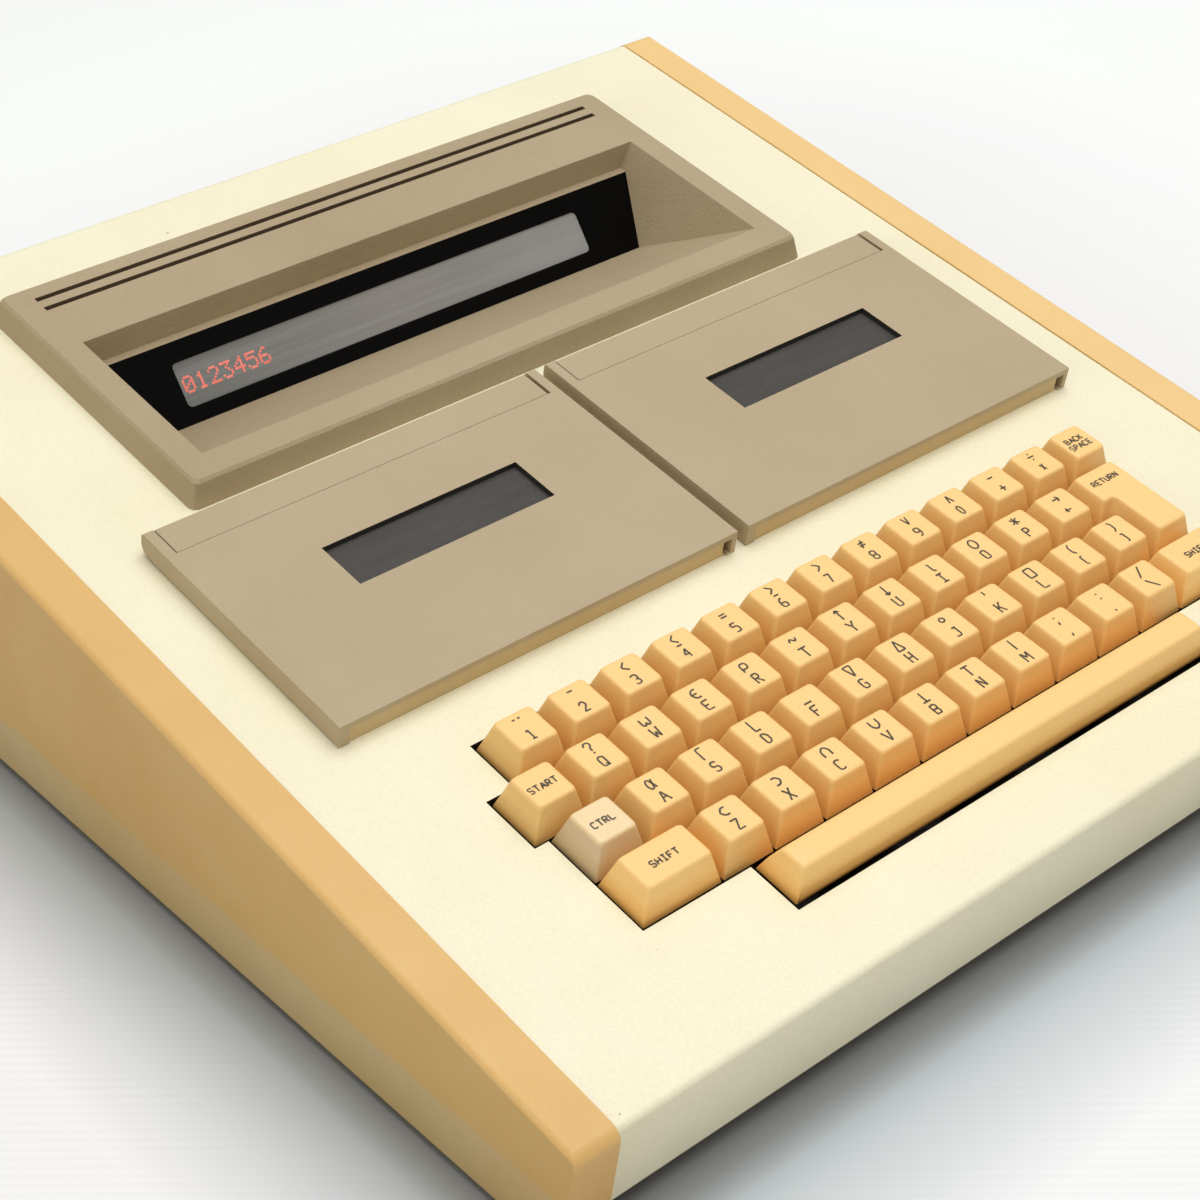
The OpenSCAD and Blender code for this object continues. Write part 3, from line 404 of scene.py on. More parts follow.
def paler_at_foot(material, code, low, high):
    """Mix in a paler colour below the height low (metres), fading out at high: painted light on a
    lower band.
    """
    t, effect, spot = opened(material)
    z = t.add("ShaderNodeSeparateXYZ", {0: spot}).outputs[2]
    given = tuple(effect.inputs["Colour"].default_value)
    t.feed(effect, {"Colour": t.mixed(t.between(z, low, high), colour(code), given)})


def metal(name, code, rough, streaks):
    """Drawn metal of one colour."""
    return dressed(name, METAL, {"Colour": colour(code), "Roughness": rough,
                                 "Streaks": streaks}, 0.12, Metallic=1.0)


cream = plastic("cream_moulding", "#f6f2d6", "#efe7c0", 0.45, 1100.0, 0.5, 0.52, 0.55, 0.22)
mustard = plastic("mustard_moulding", "#e4bb76", "#d6a75e", 0.4, 1500.0, 0.4, 0.5, 0.25, 0.12)
# The right side panel: the same mustard paint as the left, drawn paler as painted light where
# brighter light falls on it
mustard_painted_light = plastic("mustard_right_painted_light", "#f3cf8e", "#e6bc74", 0.4, 1500.0, 0.4, 0.5, 0.25, 0.12)
# The side panels' outer face: the same mustard drawn darker as painted shade, and paler along its
# lower edge as painted light bounced from the floor
mustard_side_painted_shade_and_light = plastic("mustard_outer_face_painted_shade_and_light", "#d1ad68", "#c49b55", 0.4, 1500.0, 0.4, 0.5, 0.25, 0.12)
paler_at_foot(mustard_side_painted_shade_and_light, "#c9b27e", 0.0192, 0.0212)
taupe = plastic("taupe_moulding", "#b9a889", "#aa9675", 0.35, 1300.0, 0.7, 0.55, 0.2, 0.3)
hood_taupe = plastic("hood_moulding", "#b2a182", "#a08b6a", 0.4, 1100.0, 1.0, 0.6, 0.2, 0.55)
# The drive housings' fronts: their taupe drawn paler and warmer as painted light bounced from the
# cream deck
tan = plastic("taupe_painted_bounce_light", "#cfb98a", "#c0a574", 0.35, 1300.0, 0.7, 0.55, 0.2, 0.3)
# Each keycap's side and foot colours are painted shade and reflected light on one plastic
key_yellow = keycap_plastic("yellowed_keycap", "#ffd48a", "#f0c67e", "#dcac62")
key_pale = keycap_plastic("pale_keycap", "#f6dcab", "#d8c09a", "#ccb080")
# The space bar and shift keys: lighter sides and feet as painted light on their outer faces
key_outer_painted_light = keycap_plastic("front_keycap", "#ffd48a", "#fdd083", "#f6b963")
CAP_PLASTIC = {"key_ctrl": key_pale, "key_space_bar": key_outer_painted_light, "key_left_shift": key_outer_painted_light,
               "key_right_shift": key_outer_painted_light}
black = plastic("black_moulding", "#040404", "#070606", 0.5, 1200.0, 0.4, 0.5, 0.1, 0.12,
                Specular_IOR_Level=0.06)
# Dark brown for the walls of the hood's slots: painted shade on the hood's taupe moulding
slot_painted_shade = plastic("slot_wall_painted_shade", "#75634a", "#5d4c36", 0.3, 1300.0, 0.4, 0.6, 0.1, 0.1)
# Black switch plastic, also drawn on the walls of the keyboard's opening and of the lids' windows
# as painted shade
switch_black_and_painted_shade = plastic("switch_housing_and_painted_shade", "#2b2a28", "#38332c", 0.5, 1200.0, 0.4, 0.5, 0.2,
                       0.15)
white = plastic("white_hub", "#e8e4da", "#dcd2b8", 0.5, 1500.0, 0.3, 0.4, 0.15, 0.1)
red = plastic("red_rocker", "#a9221b", "#8d1c15", 0.4, 1500.0, 0.15, 0.22, 0.05, 0.05)
rubber = plastic("foot_rubber", "#1d1c1b", "#2b2825", 0.6, 700.0, 0.8, 0.78, 0.6, 0.4)
legend_ink = plastic("legend_ink", "#403a31", "#665a44", 0.6, 2500.0, 0.2, 0.5, 0.0, 0.05)
pan_paint = plastic("pan_paint", "#39342f", "#4b433a", 0.5, 800.0, 0.5, 0.45, 0.3, 0.2)
sheet_steel = metal("sheet_steel", "#b4b8bc", 0.34, 0.5)
plate_steel = metal("drive_plate", "#85888b", 0.52, 0.3)
can_steel = metal("motor_can", "#7d8185", 0.38, 0.3)
screw_steel = metal("plated_screw", "#a7a9ab", 0.3, 0.3)
pin_brass = metal("contact_gold", "#c9a24a", 0.28, 0.2)


# Heights of the main board's face and of its chips' tops, in metres
BOARD_FACE, CHIP_TOP = 0.01215, 0.016


def board_material():
    """Varnished green board with pale tracks: lanes 2.54 mm apart and runs 20 mm long, of which
    a random part is laid. Its chips are black; the keyboard's board is drawn black as painted
    shade in the gaps under the keys."""
    material, t, shader, spot = new_material("green_board")
    x, y, z = t.add("ShaderNodeSeparateXYZ", {0: spot}).outputs
    lines = []
    for along, across, offset in ((x, y, 0.3), (y, x, 7.7)):
        lanes = t.maths("MULTIPLY", along, 1000 / 2.54)
        runs = t.maths("FLOOR", t.maths("MULTIPLY", across, 1000 / 20.0))
        seed = t.maths("ADD", t.maths("FLOOR", lanes), t.maths("MULTIPLY", runs, offset))
        cell = t.add("ShaderNodeTexWhiteNoise", {"W": seed},
                     noise_dimensions="1D").outputs["Value"]
        lines.append(t.maths("MULTIPLY", t.maths("LESS_THAN", t.maths("FRACT", lanes), 0.3),
                             t.maths("GREATER_THAN", cell, 0.45)))
    tracks = t.maths("MAXIMUM", *lines)
    green = t.mixed(t.between(t.noise(spot, 30.0), 0.3, 0.7, 0.0, 0.6), colour("#2c6437"),
                    colour("#1f5230"))
    green = t.mixed(t.maths("MULTIPLY", tracks, 0.6), green, colour("#6f9a5e"))
    chip = t.maths("MULTIPLY", t.maths("GREATER_THAN", z, BOARD_FACE),
                   t.maths("LESS_THAN", z, CHIP_TOP))
    # Painted shade: the keyboard's board, seen through the gaps under the keys, is drawn black
    keyboard = t.maths("MULTIPLY",
                       t.maths("GREATER_THAN", t.deck_height(spot), DECK_UP - 0.0225),
                       t.maths("LESS_THAN", y, -0.04))
    paint = t.mixed(t.maths("MAXIMUM", chip, keyboard), green, colour("#1b1b1c"))
    rough = t.between(chip, 0.0, 1.0, 0.3, 0.55)
    relief = t.add("ShaderNodeBump", {"Strength": 0.3, "Distance": 0.0001, "Height": tracks})
    t.feed(shader, {"Base Color": paint, "Roughness": rough, "Normal": relief.outputs[0]})
    return material


def screen_material():
    """Grey plasma panel: fine wires across it, streaks along it. Its grey, growing paler to the
    right, is painted reflection of the pale surroundings; its warmer middle is painted light.
    """
    material, t, shader, spot = new_material("plasma_glass")
    x = t.add("ShaderNodeSeparateXYZ", {0: spot}).outputs[0]
    wires = t.maths("LESS_THAN", t.maths("FRACT", t.maths("MULTIPLY", x, 1000 / 0.8)), 0.35)
    # Painted reflection: the grey grows paler towards the right
    reflection_to_right = t.maths("MULTIPLY", t.between(x, -0.087, 0.084),
                   t.between(t.noise(spot, 25.0), 0.3, 0.7, 0.7, 1.0))
    grey = t.mixed(reflection_to_right, colour("#747674"), colour("#999a97"))
    # Painted light: the middle of the panel is drawn warmer and brighter
    middle = t.maths("MULTIPLY", t.between(x, -0.06, -0.005), t.between(x, 0.06, 0.005))
    grey = t.mixed(t.maths("MULTIPLY", middle, 0.22), grey, colour("#a69a8f"))
    streak = t.noise(t.add("ShaderNodeMapping", {"Vector": spot, "Scale": (9, 420, 420)}
                           ).outputs[0], 1.0, 3.0)
    grey = t.mixed(t.between(streak, 0.45, 0.75, 0.0, 0.4), grey, colour("#a3a5a4"))
    grey = t.mixed(t.maths("MULTIPLY", wires, 0.22), grey, colour("#5b5c5c"))
    rough = t.between(t.noise(spot, 60.0, 3.0), 0.3, 0.7, 0.12, 0.24)
    t.feed(shader, {"Base Color": grey, "Roughness": rough, "Coat Weight": 0.6,
                    "Coat Roughness": 0.05})
    return material


def window_material():
    """Smoked plastic: near black, with faint wiping marks and dust in the gloss."""
    material, t, shader, spot = new_material("smoked_plastic")
    wipes = t.noise(t.add("ShaderNodeMapping", {"Vector": spot, "Rotation": (0, 0, 0.5),
                                                "Scale": (30, 260, 90)}).outputs[0], 1.0, 4.0)
    dust = t.between(t.noise(spot, 1500.0, 2.0), 0.55, 0.8, 0.0, 0.35)
    tone = t.mixed(t.between(wipes, 0.35, 0.7, 0.0, 0.6), colour("#454340"), colour("#4f4c49"))
    tone = t.mixed(dust, tone, colour("#6b675f"))
    t.feed(shader, {"Base Color": tone, "Roughness": t.between(wipes, 0.3, 0.7, 0.36, 0.5),
                    "Specular IOR Level": 0.3})
    return material


def glow_material():
    """Lit gas dots: salmon glow that breathes a little from dot to dot."""
    material, t, shader, spot = new_material("lit_gas")
    tone = t.mixed(t.between(t.noise(spot, 700.0), 0.3, 0.7), colour("#c45f50"),
                   colour("#d47466"))
    t.feed(shader, {"Base Color": tone, "Emission Color": tone, "Emission Strength": 0.55,
                    "Roughness": 0.4})
    return material


board_green = board_material()
screen_grey = screen_material()
smoked = window_material()
lit_gas = glow_material()


# ---- Keycaps ----

# Middles of the five rows, then the letters of three of them and where each row starts
ROWS_V = [110.7 - i * PITCH for i in range(5)]
LETTER_ROWS = ["QWERTYUIOP", "ASDFGHJKL", "ZXCVBNM"]
LETTER_LEFT = [-5.75, -5.5, -5.0]
# Insets of a cap from its cell: at the foot, at the top, at the top of the space bar's rear
SIDE_SKIRT, SIDE_TOP, SPACE_REAR = 0.425, 3.225, 6.4
CAP_RIM, SPACE_RIM, DISH = 1.05, 1.3, 0.15
# A cap's corner radius at the foot and how much more at the top, and inside; its top's wall
CORNER_FOOT, CORNER_MORE, CORNER_INSIDE, TOP_WALL = 0.35, 1.05, 0.7, 1.8
# How far the space bar's front stands back from its cell's line, and how much more at its foot
SPACE_BACK, SPACE_BACK_AT_FOOT = 1.0, 0.4


def rounded(corners, r, steps=5):
    """Closed outline with each right-angled corner swept by a quarter arc of radius r:
    centre = corner + r (to previous + to next),
    point = centre - r (to next cos a + to previous sin a)."""
    corner = np.asarray(corners, float)
    before = np.roll(corner, 1, 0) - corner
    after = np.roll(corner, -1, 0) - corner
    before /= np.linalg.norm(before, axis=1)[:, None]
    after /= np.linalg.norm(after, axis=1)[:, None]
    centre = corner + r * (before + after)
    a = np.linspace(0, math.pi / 2, steps)[None, :, None]
    arc = centre[:, None] - r * (after[:, None] * np.cos(a) + before[:, None] * np.sin(a))
    return arc.reshape(-1, 2)


def cap_corners(cell, side, rear):
    """Corners of a cap, anticlockwise, inset from its cells by side, and by rear at the back."""
    left, right, v, shape = cell
    u0, u1 = left * PITCH + side, right * PITCH - side
    front, back = v - PITCH / 2 + side, v + PITCH / 2 - rear
    if shape == "return":
        u2, step, low = u0 + PITCH / 4, front, v - 1.5 * PITCH + side
        return [[u2, low], [u1, low], [u1, back], [u0, back], [u0, step], [u2, step]]
    return [[u0, front], [u1, front], [u1, back], [u0, back]]


def cap_surface(cell):
    """Keycap as closed rings: straight drafted side, an arc of radius edge over the rim,
    a top dished by DISH (1 - share^2), and the hollow underneath. On the side, t goes from
    0 at the foot to 1 where the side's line meets the top."""
    shape = cell[3]
    edge = SPACE_RIM if shape == "space" else CAP_RIM
    rear_top = SPACE_REAR if shape == "space" else SIDE_TOP
    low = 0.0 if shape == "space" else KEY_LOW
    run, rise = SIDE_TOP - SIDE_SKIRT, KEY_TOP - KEY_LOW
    lean = math.atan2(rise, run)
    back_off = edge / math.tan((math.pi - lean) / 2)
    angle = np.linspace(math.pi - (math.pi / 2 - lean), math.pi / 2, 6)
    rim = np.stack([(back_off + edge * np.cos(angle)) / run + 1,
                    KEY_TOP - edge + edge * np.sin(angle)], 1)
    start = (low - KEY_LOW) / rise
    profile = [(start + 0.06, low), (start, low + 0.25), (0.45, KEY_LOW + 0.45 * rise)]
    profile += [tuple(p) for p in rim]
    rings = []
    for t, w in profile:
        side = SIDE_SKIRT + t * run
        rear = SIDE_SKIRT + t * (rear_top - SIDE_SKIRT)
        corners = cap_corners(cell, side, rear)
        if shape == "space":
            for corner in corners[:2]:
                corner[1] += SPACE_BACK + SPACE_BACK_AT_FOOT * max(1 - t, 0)
        rings.append((rounded(corners, CORNER_FOOT + CORNER_MORE * min(max(t, 0), 1)), w))
    top = rings[-1][0]
    middle = np.array([(cell[0] + cell[1]) / 2 * PITCH, cell[2] + (SIDE_SKIRT - rear_top) / 2])
    if shape == "return":
        middle = np.array([(cell[0] + 0.75) * PITCH, cell[2] - 4.0])
    for share in (0.8, 0.5, 0.2):
        rings.append((middle + share * (top - middle), KEY_TOP - DISH * (1 - share ** 2)))
    under = []
    for t, w in ((1.42, KEY_TOP - TOP_WALL), (start + 0.5, low + 0.1)):
        side = SIDE_SKIRT + t * run
        rear = SIDE_SKIRT + min(t, 1) * (rear_top - SIDE_SKIRT) + max(t - 1, 0) * run
        corners = cap_corners(cell, side, rear)
        under.append((rounded(corners, CORNER_INSIDE), w))
    ordered = under + rings
    n = len(ordered[0][0])
    points = np.concatenate([np.column_stack([ring, np.full(n, w)]) for ring, w in ordered])
    under_middle = [*(middle if shape == "return" else under[0][0].mean(0)), under[0][1]]
    if shape == "space":  # its ends reach down as far as the other caps
        ends = (points[:, 2] < 0.3) & (abs(points[:, 0]) > 4.5 * PITCH - 1.6)
        points[ends, 2] += KEY_LOW
    points = np.concatenate([points, [[*middle, KEY_TOP - DISH]], [under_middle]])
    faces = ring_faces(len(ordered), n).tolist()
    i = np.arange(n)
    last = (len(ordered) - 1) * n
    faces += np.stack([i + last, (i + 1) % n + last, np.full(n, len(points) - 2)], 1).tolist()
    faces += np.stack([(i + 1) % n, i, np.full(n, len(points) - 1)], 1).tolist()
    return points, faces


# Left and right edge of each key in pitches, its row's middle and its shape
CELLS = {"key_backspace": (5.75, 6.75, ROWS_V[0], ""), "key_start": (-6.75, -5.75, ROWS_V[1], ""),
         "key_return": (5.25, 6.5, ROWS_V[1], "return"), "key_ctrl": (-6.5, -5.5, ROWS_V[2], ""),
         "key_left_shift": (-6.5, -5.0, ROWS_V[3], ""),
         "key_right_shift": (5.0, 6.5, ROWS_V[3], ""),
         "key_space_bar": (-4.5, 4.5, ROWS_V[4], "space")}
for row, letters in enumerate(LETTER_ROWS):
    for place_in_row, letter in enumerate(letters):
        left = LETTER_LEFT[row] + place_in_row
        CELLS["key_" + letter] = (left, left + 1, ROWS_V[row + 1], "")
SHARED = [(-6.25 + i, -5.25 + i, ROWS_V[0], "") for i in range(12)]
SHARED += [(left, left + 1, ROWS_V[row], "") for left, row in
           ((4.25, 1), (3.5, 2), (4.5, 2), (2.0, 3), (3.0, 3), (4.0, 3))]

# ---- Legends ----

# Each stroke is a run of points, two digits each: x 0 to 6, y 0 to 8.
STROKES = {
    "A": "003860 1353", "B": "0008485755440444535140 4000", "C": "5748180701104051",
    "D": "00083856523000", "E": "50000858 0444", "F": "000858 0444",
    "G": "57481807011040515434", "H": "0008 5058 0454", "I": "1050 1858 3038",
    "J": "3858 58514010 1001", "K": "0008 5803 2550", "L": "080050", "M": "0008336860",
    "N": "00085058", "O": "104051574818070110", "P": "00084857554404",
    "Q": "104051574818070110 3250", "R": "00084857554404 2450",
    "S": "574818070514445351401001", "T": "0868 3830", "U": "080110405158",
    "V": "083068", "W": "0810355068", "X": "0058 0850", "Y": "083468 3430", "Z": "08580050",
    "0": "103042463818060210", "1": "173830 1050", "2": "06184856550050",
    "3": "0718485755442444 4453514010 1001", "4": "40480353", "5": "5808054554514000",
    "6": "48280501104051534404", "7": "085820",
    "8": "14050718485755441403011040515344", "9": "10305357481807051454",
    "dots": "0626 4666", "bar": "1656", "less": "571451", "less_equal": "581552 1050",
    "equal": "0555 0353", "more_equal": "185512 1050", "more": "175411",
    "unequal": "0555 0353 1147", "or": "173157", "and": "113751", "minus": "0454",
    "plus": "0464 3137", "divide": "0464 3637 3132", "times": "1147 1741",
    "question": "0618485634 3432 3031", "omega": "050110203240506165",
    "in": "562604022050 0343", "rho": "0005164655534202", "tilde": "031525435365",
    "up": "3038 163856", "down": "3830 123052", "iota": "2636314050",
    "circle": "204062654727050220", "star": "3137 0266 0662", "right": "0464 466442",
    "left": "0464 260422", "alpha": "5630100204163650", "ceiling": "101858",
    "floor": "181050", "low_bar": "0060", "nabla": "08683008", "delta": "00603800",
    "ring": "234354554626151423", "quote": "3538", "quad": "0060670700",
    "open": "48262240", "close": "28464220", "open_square": "48282040",
    "close_square": "28484020", "subset": "562604032151", "superset": "164664634111",
    "cap": "010527476561", "cup": "070321416367", "base": "3037 0060", "tee": "3037 0767",
    "stile": "3038", "semicolon": "3536 323120", "colon": "3536 3132", "point": "3031",
    "comma": "323120", "slash": "0068", "backslash": "0860",
}
PAIRS = dict(zip("QWERTYUIOP", ["question", "omega", "in", "rho", "tilde", "up", "down", "iota",
                                "circle", "star"]))
PAIRS.update(zip("ASDFGHJKL", ["alpha", "ceiling", "floor", "low_bar", "nabla", "delta", "ring",
                               "quote", "quad"]))
PAIRS.update(zip("ZXCVBNM", ["subset", "superset", "cap", "cup", "base", "tee", "stile"]))
SHARED_PAIRS = list(zip(["dots", "bar", "less", "less_equal", "equal", "more_equal", "more",
                         "unequal", "or", "and"], "1234567890"))
SHARED_PAIRS += [("minus", "plus"), ("divide", "times"), ("right", "left"),
                 ("open", "open_square"), ("close", "close_square"), ("semicolon", "comma"),
                 ("colon", "point"), ("slash", "backslash")]
WORDS = {"key_start": ["START"], "key_return": ["RETURN"], "key_ctrl": ["CTRL"],
         "key_left_shift": ["SHIFT"], "key_right_shift": ["SHIFT"],
         "key_backspace": ["BACK", "SPACE"]}


def eased(line, cut=0.55):
    """Open or closed run of points with each corner cut off at most `cut` from it, twice."""
    closed = np.allclose(line[0], line[-1])
    for _ in range(2):
        step = np.diff(line, axis=0)
        length = np.linalg.norm(step, axis=1)[:, None]
        part = np.minimum(cut, length * 0.3) / np.maximum(length, 1e-9)
        pairs = np.stack([line[:-1] + step * part, line[1:] - step * part], 1).reshape(-1, 2)
        line = (np.concatenate([pairs, pairs[:1]]) if closed
                else np.concatenate([line[:1], pairs[1:-1], line[-1:]]))
        cut /= 2.5
    return line


def ribbon(line, width):
    """Flat band along a run of points: each point moved half a width along its mitre."""
    along = np.gradient(line, axis=0)
    if np.allclose(line[0], line[-1]):
        along[0] = along[-1] = along[0] + along[-1]
    along /= np.linalg.norm(along, axis=1)[:, None]
    across = np.stack([-along[:, 1], along[:, 0]], 1) * width / 2
    points = np.concatenate([line + across, line - across])
    n = len(line)
    i = np.arange(n - 1)
    return points, np.stack([i, i + n, i + n + 1, i + 1], 1)


NARROW = "ABCDEFGHJKLNOPQRSUVXZ"  # letters whose strokes keep to x 0 to 5
LEGEND_W = KEY_TOP + 0.012  # the ink's height over the deck


def sign(name, middle, height, width, squeeze=0.828, feet=False):
    """The bands of one sign about its middle, height millimetres high, lying on a key's top.
    With feet, strokes that end on the top or base line get a short bar across their end."""
    parts, runs = [], []
    for stroke in STROKES[name].split():
        line = np.array([[int(a), int(b)] for a, b in zip(stroke[::2], stroke[1::2])], float)
        runs.append(eased(line) if len(line) > 2 else line)
        if feet and not np.allclose(line[0], line[-1]):
            runs += [np.array([end - [0.8, 0], end + [0.8, 0]]) for end in (line[0], line[-1])
                     if end[1] in (0, 8)]
    centre = [2.6 if name in NARROW else 3.0, 4.0]
    for line in runs:
        points, faces = ribbon((line - centre) * [height / 8 * squeeze, height / 8], width)
        parts.append((np.column_stack([points + middle, np.full(len(points), LEGEND_W)]),
                      faces))
    return parts


def cap_middle(cell):
    """The middle of a key's cell."""
    return np.array([(cell[0] + cell[1]) / 2 * PITCH, cell[2]])


# Offset from the key's middle, height and line width of the two signs on a key
UPPER_SIGN = ([-0.35, 2.8], 4.4, 0.56)
LOWER_SIGN = ([-0.45, -2.9], 3.65, 0.52)
WORD_HEIGHT, WORD_WIDTH, LETTER_PITCH, LINE_PITCH = 2.1, 0.45, 2.0, 3.2


def pair_parts(cell, upper, lower):
    """The sign above and the letter or figure below it on one key."""
    (offset, height, width), (low_offset, low_height, low_width) = UPPER_SIGN, LOWER_SIGN
    middle = cap_middle(cell)
    return (sign(upper, middle + offset, height, width)
            + sign(lower, middle + low_offset, low_height, low_width, feet=lower.isalpha()))


def word_parts(cell, words):
    """Short words on a key, a line each, letters a set pitch apart."""
    middle = cap_middle(cell) + [-0.6, -0.5]
    if cell[3] == "return":
        middle = middle + [0.0, 1.2]
    parts = []
    for line_no, word in enumerate(words):
        down = (line_no - (len(words) - 1) / 2) * LINE_PITCH
        for k, letter in enumerate(word):
            shift = (k - (len(word) - 1) / 2) * LETTER_PITCH
            parts += sign(letter, middle + [shift, -down], WORD_HEIGHT, WORD_WIDTH, 0.9775)
    return parts


for name, cell in CELLS.items():
    points, faces = cap_surface(cell)
    cap = made(name + "_cap", place(points), faces, CAP_PLASTIC.get(name, key_yellow), name)
    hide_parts(name)
    if name in WORDS:
        parts = word_parts(cell, WORDS[name])
    elif cell[3] == "space":
        continue
    else:
        letter = name[-1]
        parts = pair_parts(cell, PAIRS[letter], letter)
    points, faces = joined(parts)
    made(name + "_legend", place(points), faces, legend_ink, name)
points, faces = joined([cap_surface(cell) for cell in SHARED])
shared_caps = made("number_and_sign_caps", place(points), faces, key_yellow,
                   "number_and_sign_keys")
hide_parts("number_and_sign_keys")
points, faces = joined([part for cell, pair in zip(SHARED, SHARED_PAIRS)
                        for part in pair_parts(cell, *pair)])
made("number_and_sign_legends", place(points), faces, legend_ink, "number_and_sign_keys")

# ---- Display ----

# Rows of five dots from the top down, a bit each
DOT_ROWS = {"0": (14, 17, 19, 21, 25, 17, 14), "1": (4, 12, 4, 4, 4, 4, 14),
            "2": (14, 17, 1, 2, 4, 8, 31), "3": (31, 2, 4, 2, 1, 17, 14),
            "4": (2, 6, 10, 18, 31, 2, 2), "5": (31, 16, 30, 1, 1, 17, 14),
            "6": (6, 8, 16, 30, 17, 17, 14)}


def lit_figures(text, left=-86.0, low=-3.5, dot=0.82, size=0.98):
    """Figures of five by seven dots; each dot is a flat pillow standing on the glass."""
    spots = [[left + (6 * k + c) * dot, low + (6 - r) * dot, 0.0]
             for k, letter in enumerate(text) for r, bits in enumerate(DOT_ROWS[letter])
             for c in range(5) if bits >> (4 - c) & 1]
    spots = np.array(spots)
    a = np.arange(8) * math.pi / 4
    ring = np.stack([np.cos(a), np.sin(a)], 1) * size / 2
    low_ring = np.column_stack([ring, np.zeros(8)])
    high_ring = np.column_stack([ring * 0.7, np.full(8, 0.05)])
    shape = np.concatenate([low_ring, high_ring])
    points = spots[:, None] + shape
    i = np.arange(8)
    faces = []
    for first in range(0, 16 * len(spots), 16):
        faces += ring_faces(2, 8, first).tolist() + [(i + 8 + first).tolist(),
                                                     (i[::-1] + first).tolist()]
    return points.reshape(-1, 3), faces


GLASS_FACE = -0.8  # behind the panel's plane
points, faces = lit_figures("0123456")
points[:, 2] += GLASS_FACE + 0.004
made("lit_figures", place_on_panel(points), faces, lit_gas, "case")

# ---- Screws and contacts ----

def screw_surface(n):
    """Pan head as height over radius and angle: a dome 1.2 sqrt(1 - (r / 3.05)^4), with a
    crossed recess cut where the distance to either arm's line is under 0.34 mm."""
    radius = np.array([0.0, 0.4, 0.8, 1.15, 1.5, 1.75, 2.1, 2.5, 2.72, 2.8])
    angle = np.arange(n) * 2 * math.pi / n
    r, a = np.meshgrid(radius[1:], angle, indexing="ij")
    x, y = r * np.cos(a), r * np.sin(a)
    z = 1.2 * np.sqrt(np.clip(1 - (r / 3.05) ** 4, 0, 1))
    arm = (np.minimum(abs(x), abs(y)) < 0.34) & (r < 1.6)
    z = np.where(arm, z - 0.7, z)
    z[-1] = 0.0
    head = np.stack([x, y, z], -1).reshape(-1, 3)
    return np.concatenate([[[0, 0, 0.45]], head])


def screw_at(origin, out, length, n=24):
    """Head and shank of one screw: seat at origin, head towards out, in metres."""
    head = screw_surface(n)
    rings = (len(head) - 1) // n
    shank = [[1.3, 0.0], [1.3, -length + 1.0], [0.4, -length]]
    angle = np.arange(n) * 2 * math.pi / n
    rows = [np.stack([r * np.cos(angle), r * np.sin(angle), np.full(n, z)], 1)
            for r, z in shank]
    points = np.concatenate([head] + rows + [[[0, 0, -length]]])
    i = np.arange(n)
    faces = np.stack([np.zeros(n, int), i + 1, (i + 1) % n + 1], 1).tolist()
    faces += ring_faces(rings + len(shank), n, 1).tolist()
    last = 1 + (rings + len(shank) - 1) * n
    faces += np.stack([i + last, np.full(n, len(points) - 1), (i + 1) % n + last], 1).tolist()
    z_axis = np.asarray(out, float)
    x_axis = np.cross([0.0, 0.0, 1.0] if abs(z_axis[2]) < 0.9 else [1.0, 0.0, 0.0], z_axis)
    x_axis /= np.linalg.norm(x_axis)
    turn = np.stack([x_axis, np.cross(z_axis, x_axis), z_axis])
    return points @ turn / 1000 + origin, faces


def grid(across, along):
    """Each pair of a place across and a place along."""
    return [(a, b) for a in across for b in along]


SLOPE_DOWN = [0.0, math.sin(TILT), -math.cos(TILT)]
PANEL_DOWN = [0.0, math.sin(TILT + math.pi / 4), -math.cos(TILT + math.pi / 4)]
rear_z = DECK_Z + 395 * math.sin(TILT) - 17
# Feet, side panels, main board, power supply, rear flange, keyboard board, hood, drive
# housings and display board, as in the part's source
screws = [screw_at(np.array([x, y, 1.6]) / 1000, [0, 0, -1], 5)
          for x, y in grid((-140, 140), (-150, 160))]
screws += [screw_at(np.array([166 * s, y, 9]) / 1000, [-s, 0, 0], 9)
           for s, y in grid((-1, 1), (-150, 0, 150))]
screws += [screw_at(np.array([x, y, 12.1]) / 1000, [0, 0, 1], 5)
           for x, y in grid((-142, 0, 142), (-134.97, 12.03))]
screws += [screw_at(np.array([x, y, 6.5]) / 1000, [0, 0, 1], 5)
           for x, y in grid((-154, -52), (72, 122))]
screws += [screw_at(np.array([x, REAR_Y + 3.2, rear_z]) / 1000, [0, 1, 0], 8)
           for x in (-150, -50, 50, 150)]
screws += [screw_at(place([u, v, -21.6]), SLOPE_DOWN, 9)
           for u, v in grid((-122, 122), (30, 128)) + [(0, 128)]]
screws += [screw_at(place([u, v, -3]), SLOPE_DOWN, 8)
           for u, v in grid((-108, 108), (253.4, 337.8))]
screws += [screw_at(place([middle + u, 232.2, -3]), SLOPE_DOWN, 8)
           for middle, u in grid(DRIVES.values(), (-50, 50))]
screws += [screw_at(place_on_panel([x, y, -16]), PANEL_DOWN, 7)
           for x, y in grid((-98.45, 98.45), (-8, 4))]
points, faces = joined(screws)
all_screws = made("cross_head_screws", points, faces, screw_steel, "case")
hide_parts("assembly_screws")
INLET_X, SOCKET_X, CONTACT_PITCH = -125, 95, 3.0
inlet_pins = blocks([[INLET_X + x, REAR_Y - 11.4, z] for x, z in ((-7, 36), (0, 32), (7, 36))],
                    [2.1, 7.2, 5.1])
contacts = blocks([[SOCKET_X + (i - 8.5) * CONTACT_PITCH, REAR_Y - 5.6, 34 + s * 2.45]
                   for i in range(18) for s in (-1, 1)], [1.5, 8.6, 0.5])
points, faces = joined([inlet_pins, contacts])
made("gold_contacts", points / 1000, faces, pin_brass, "case")

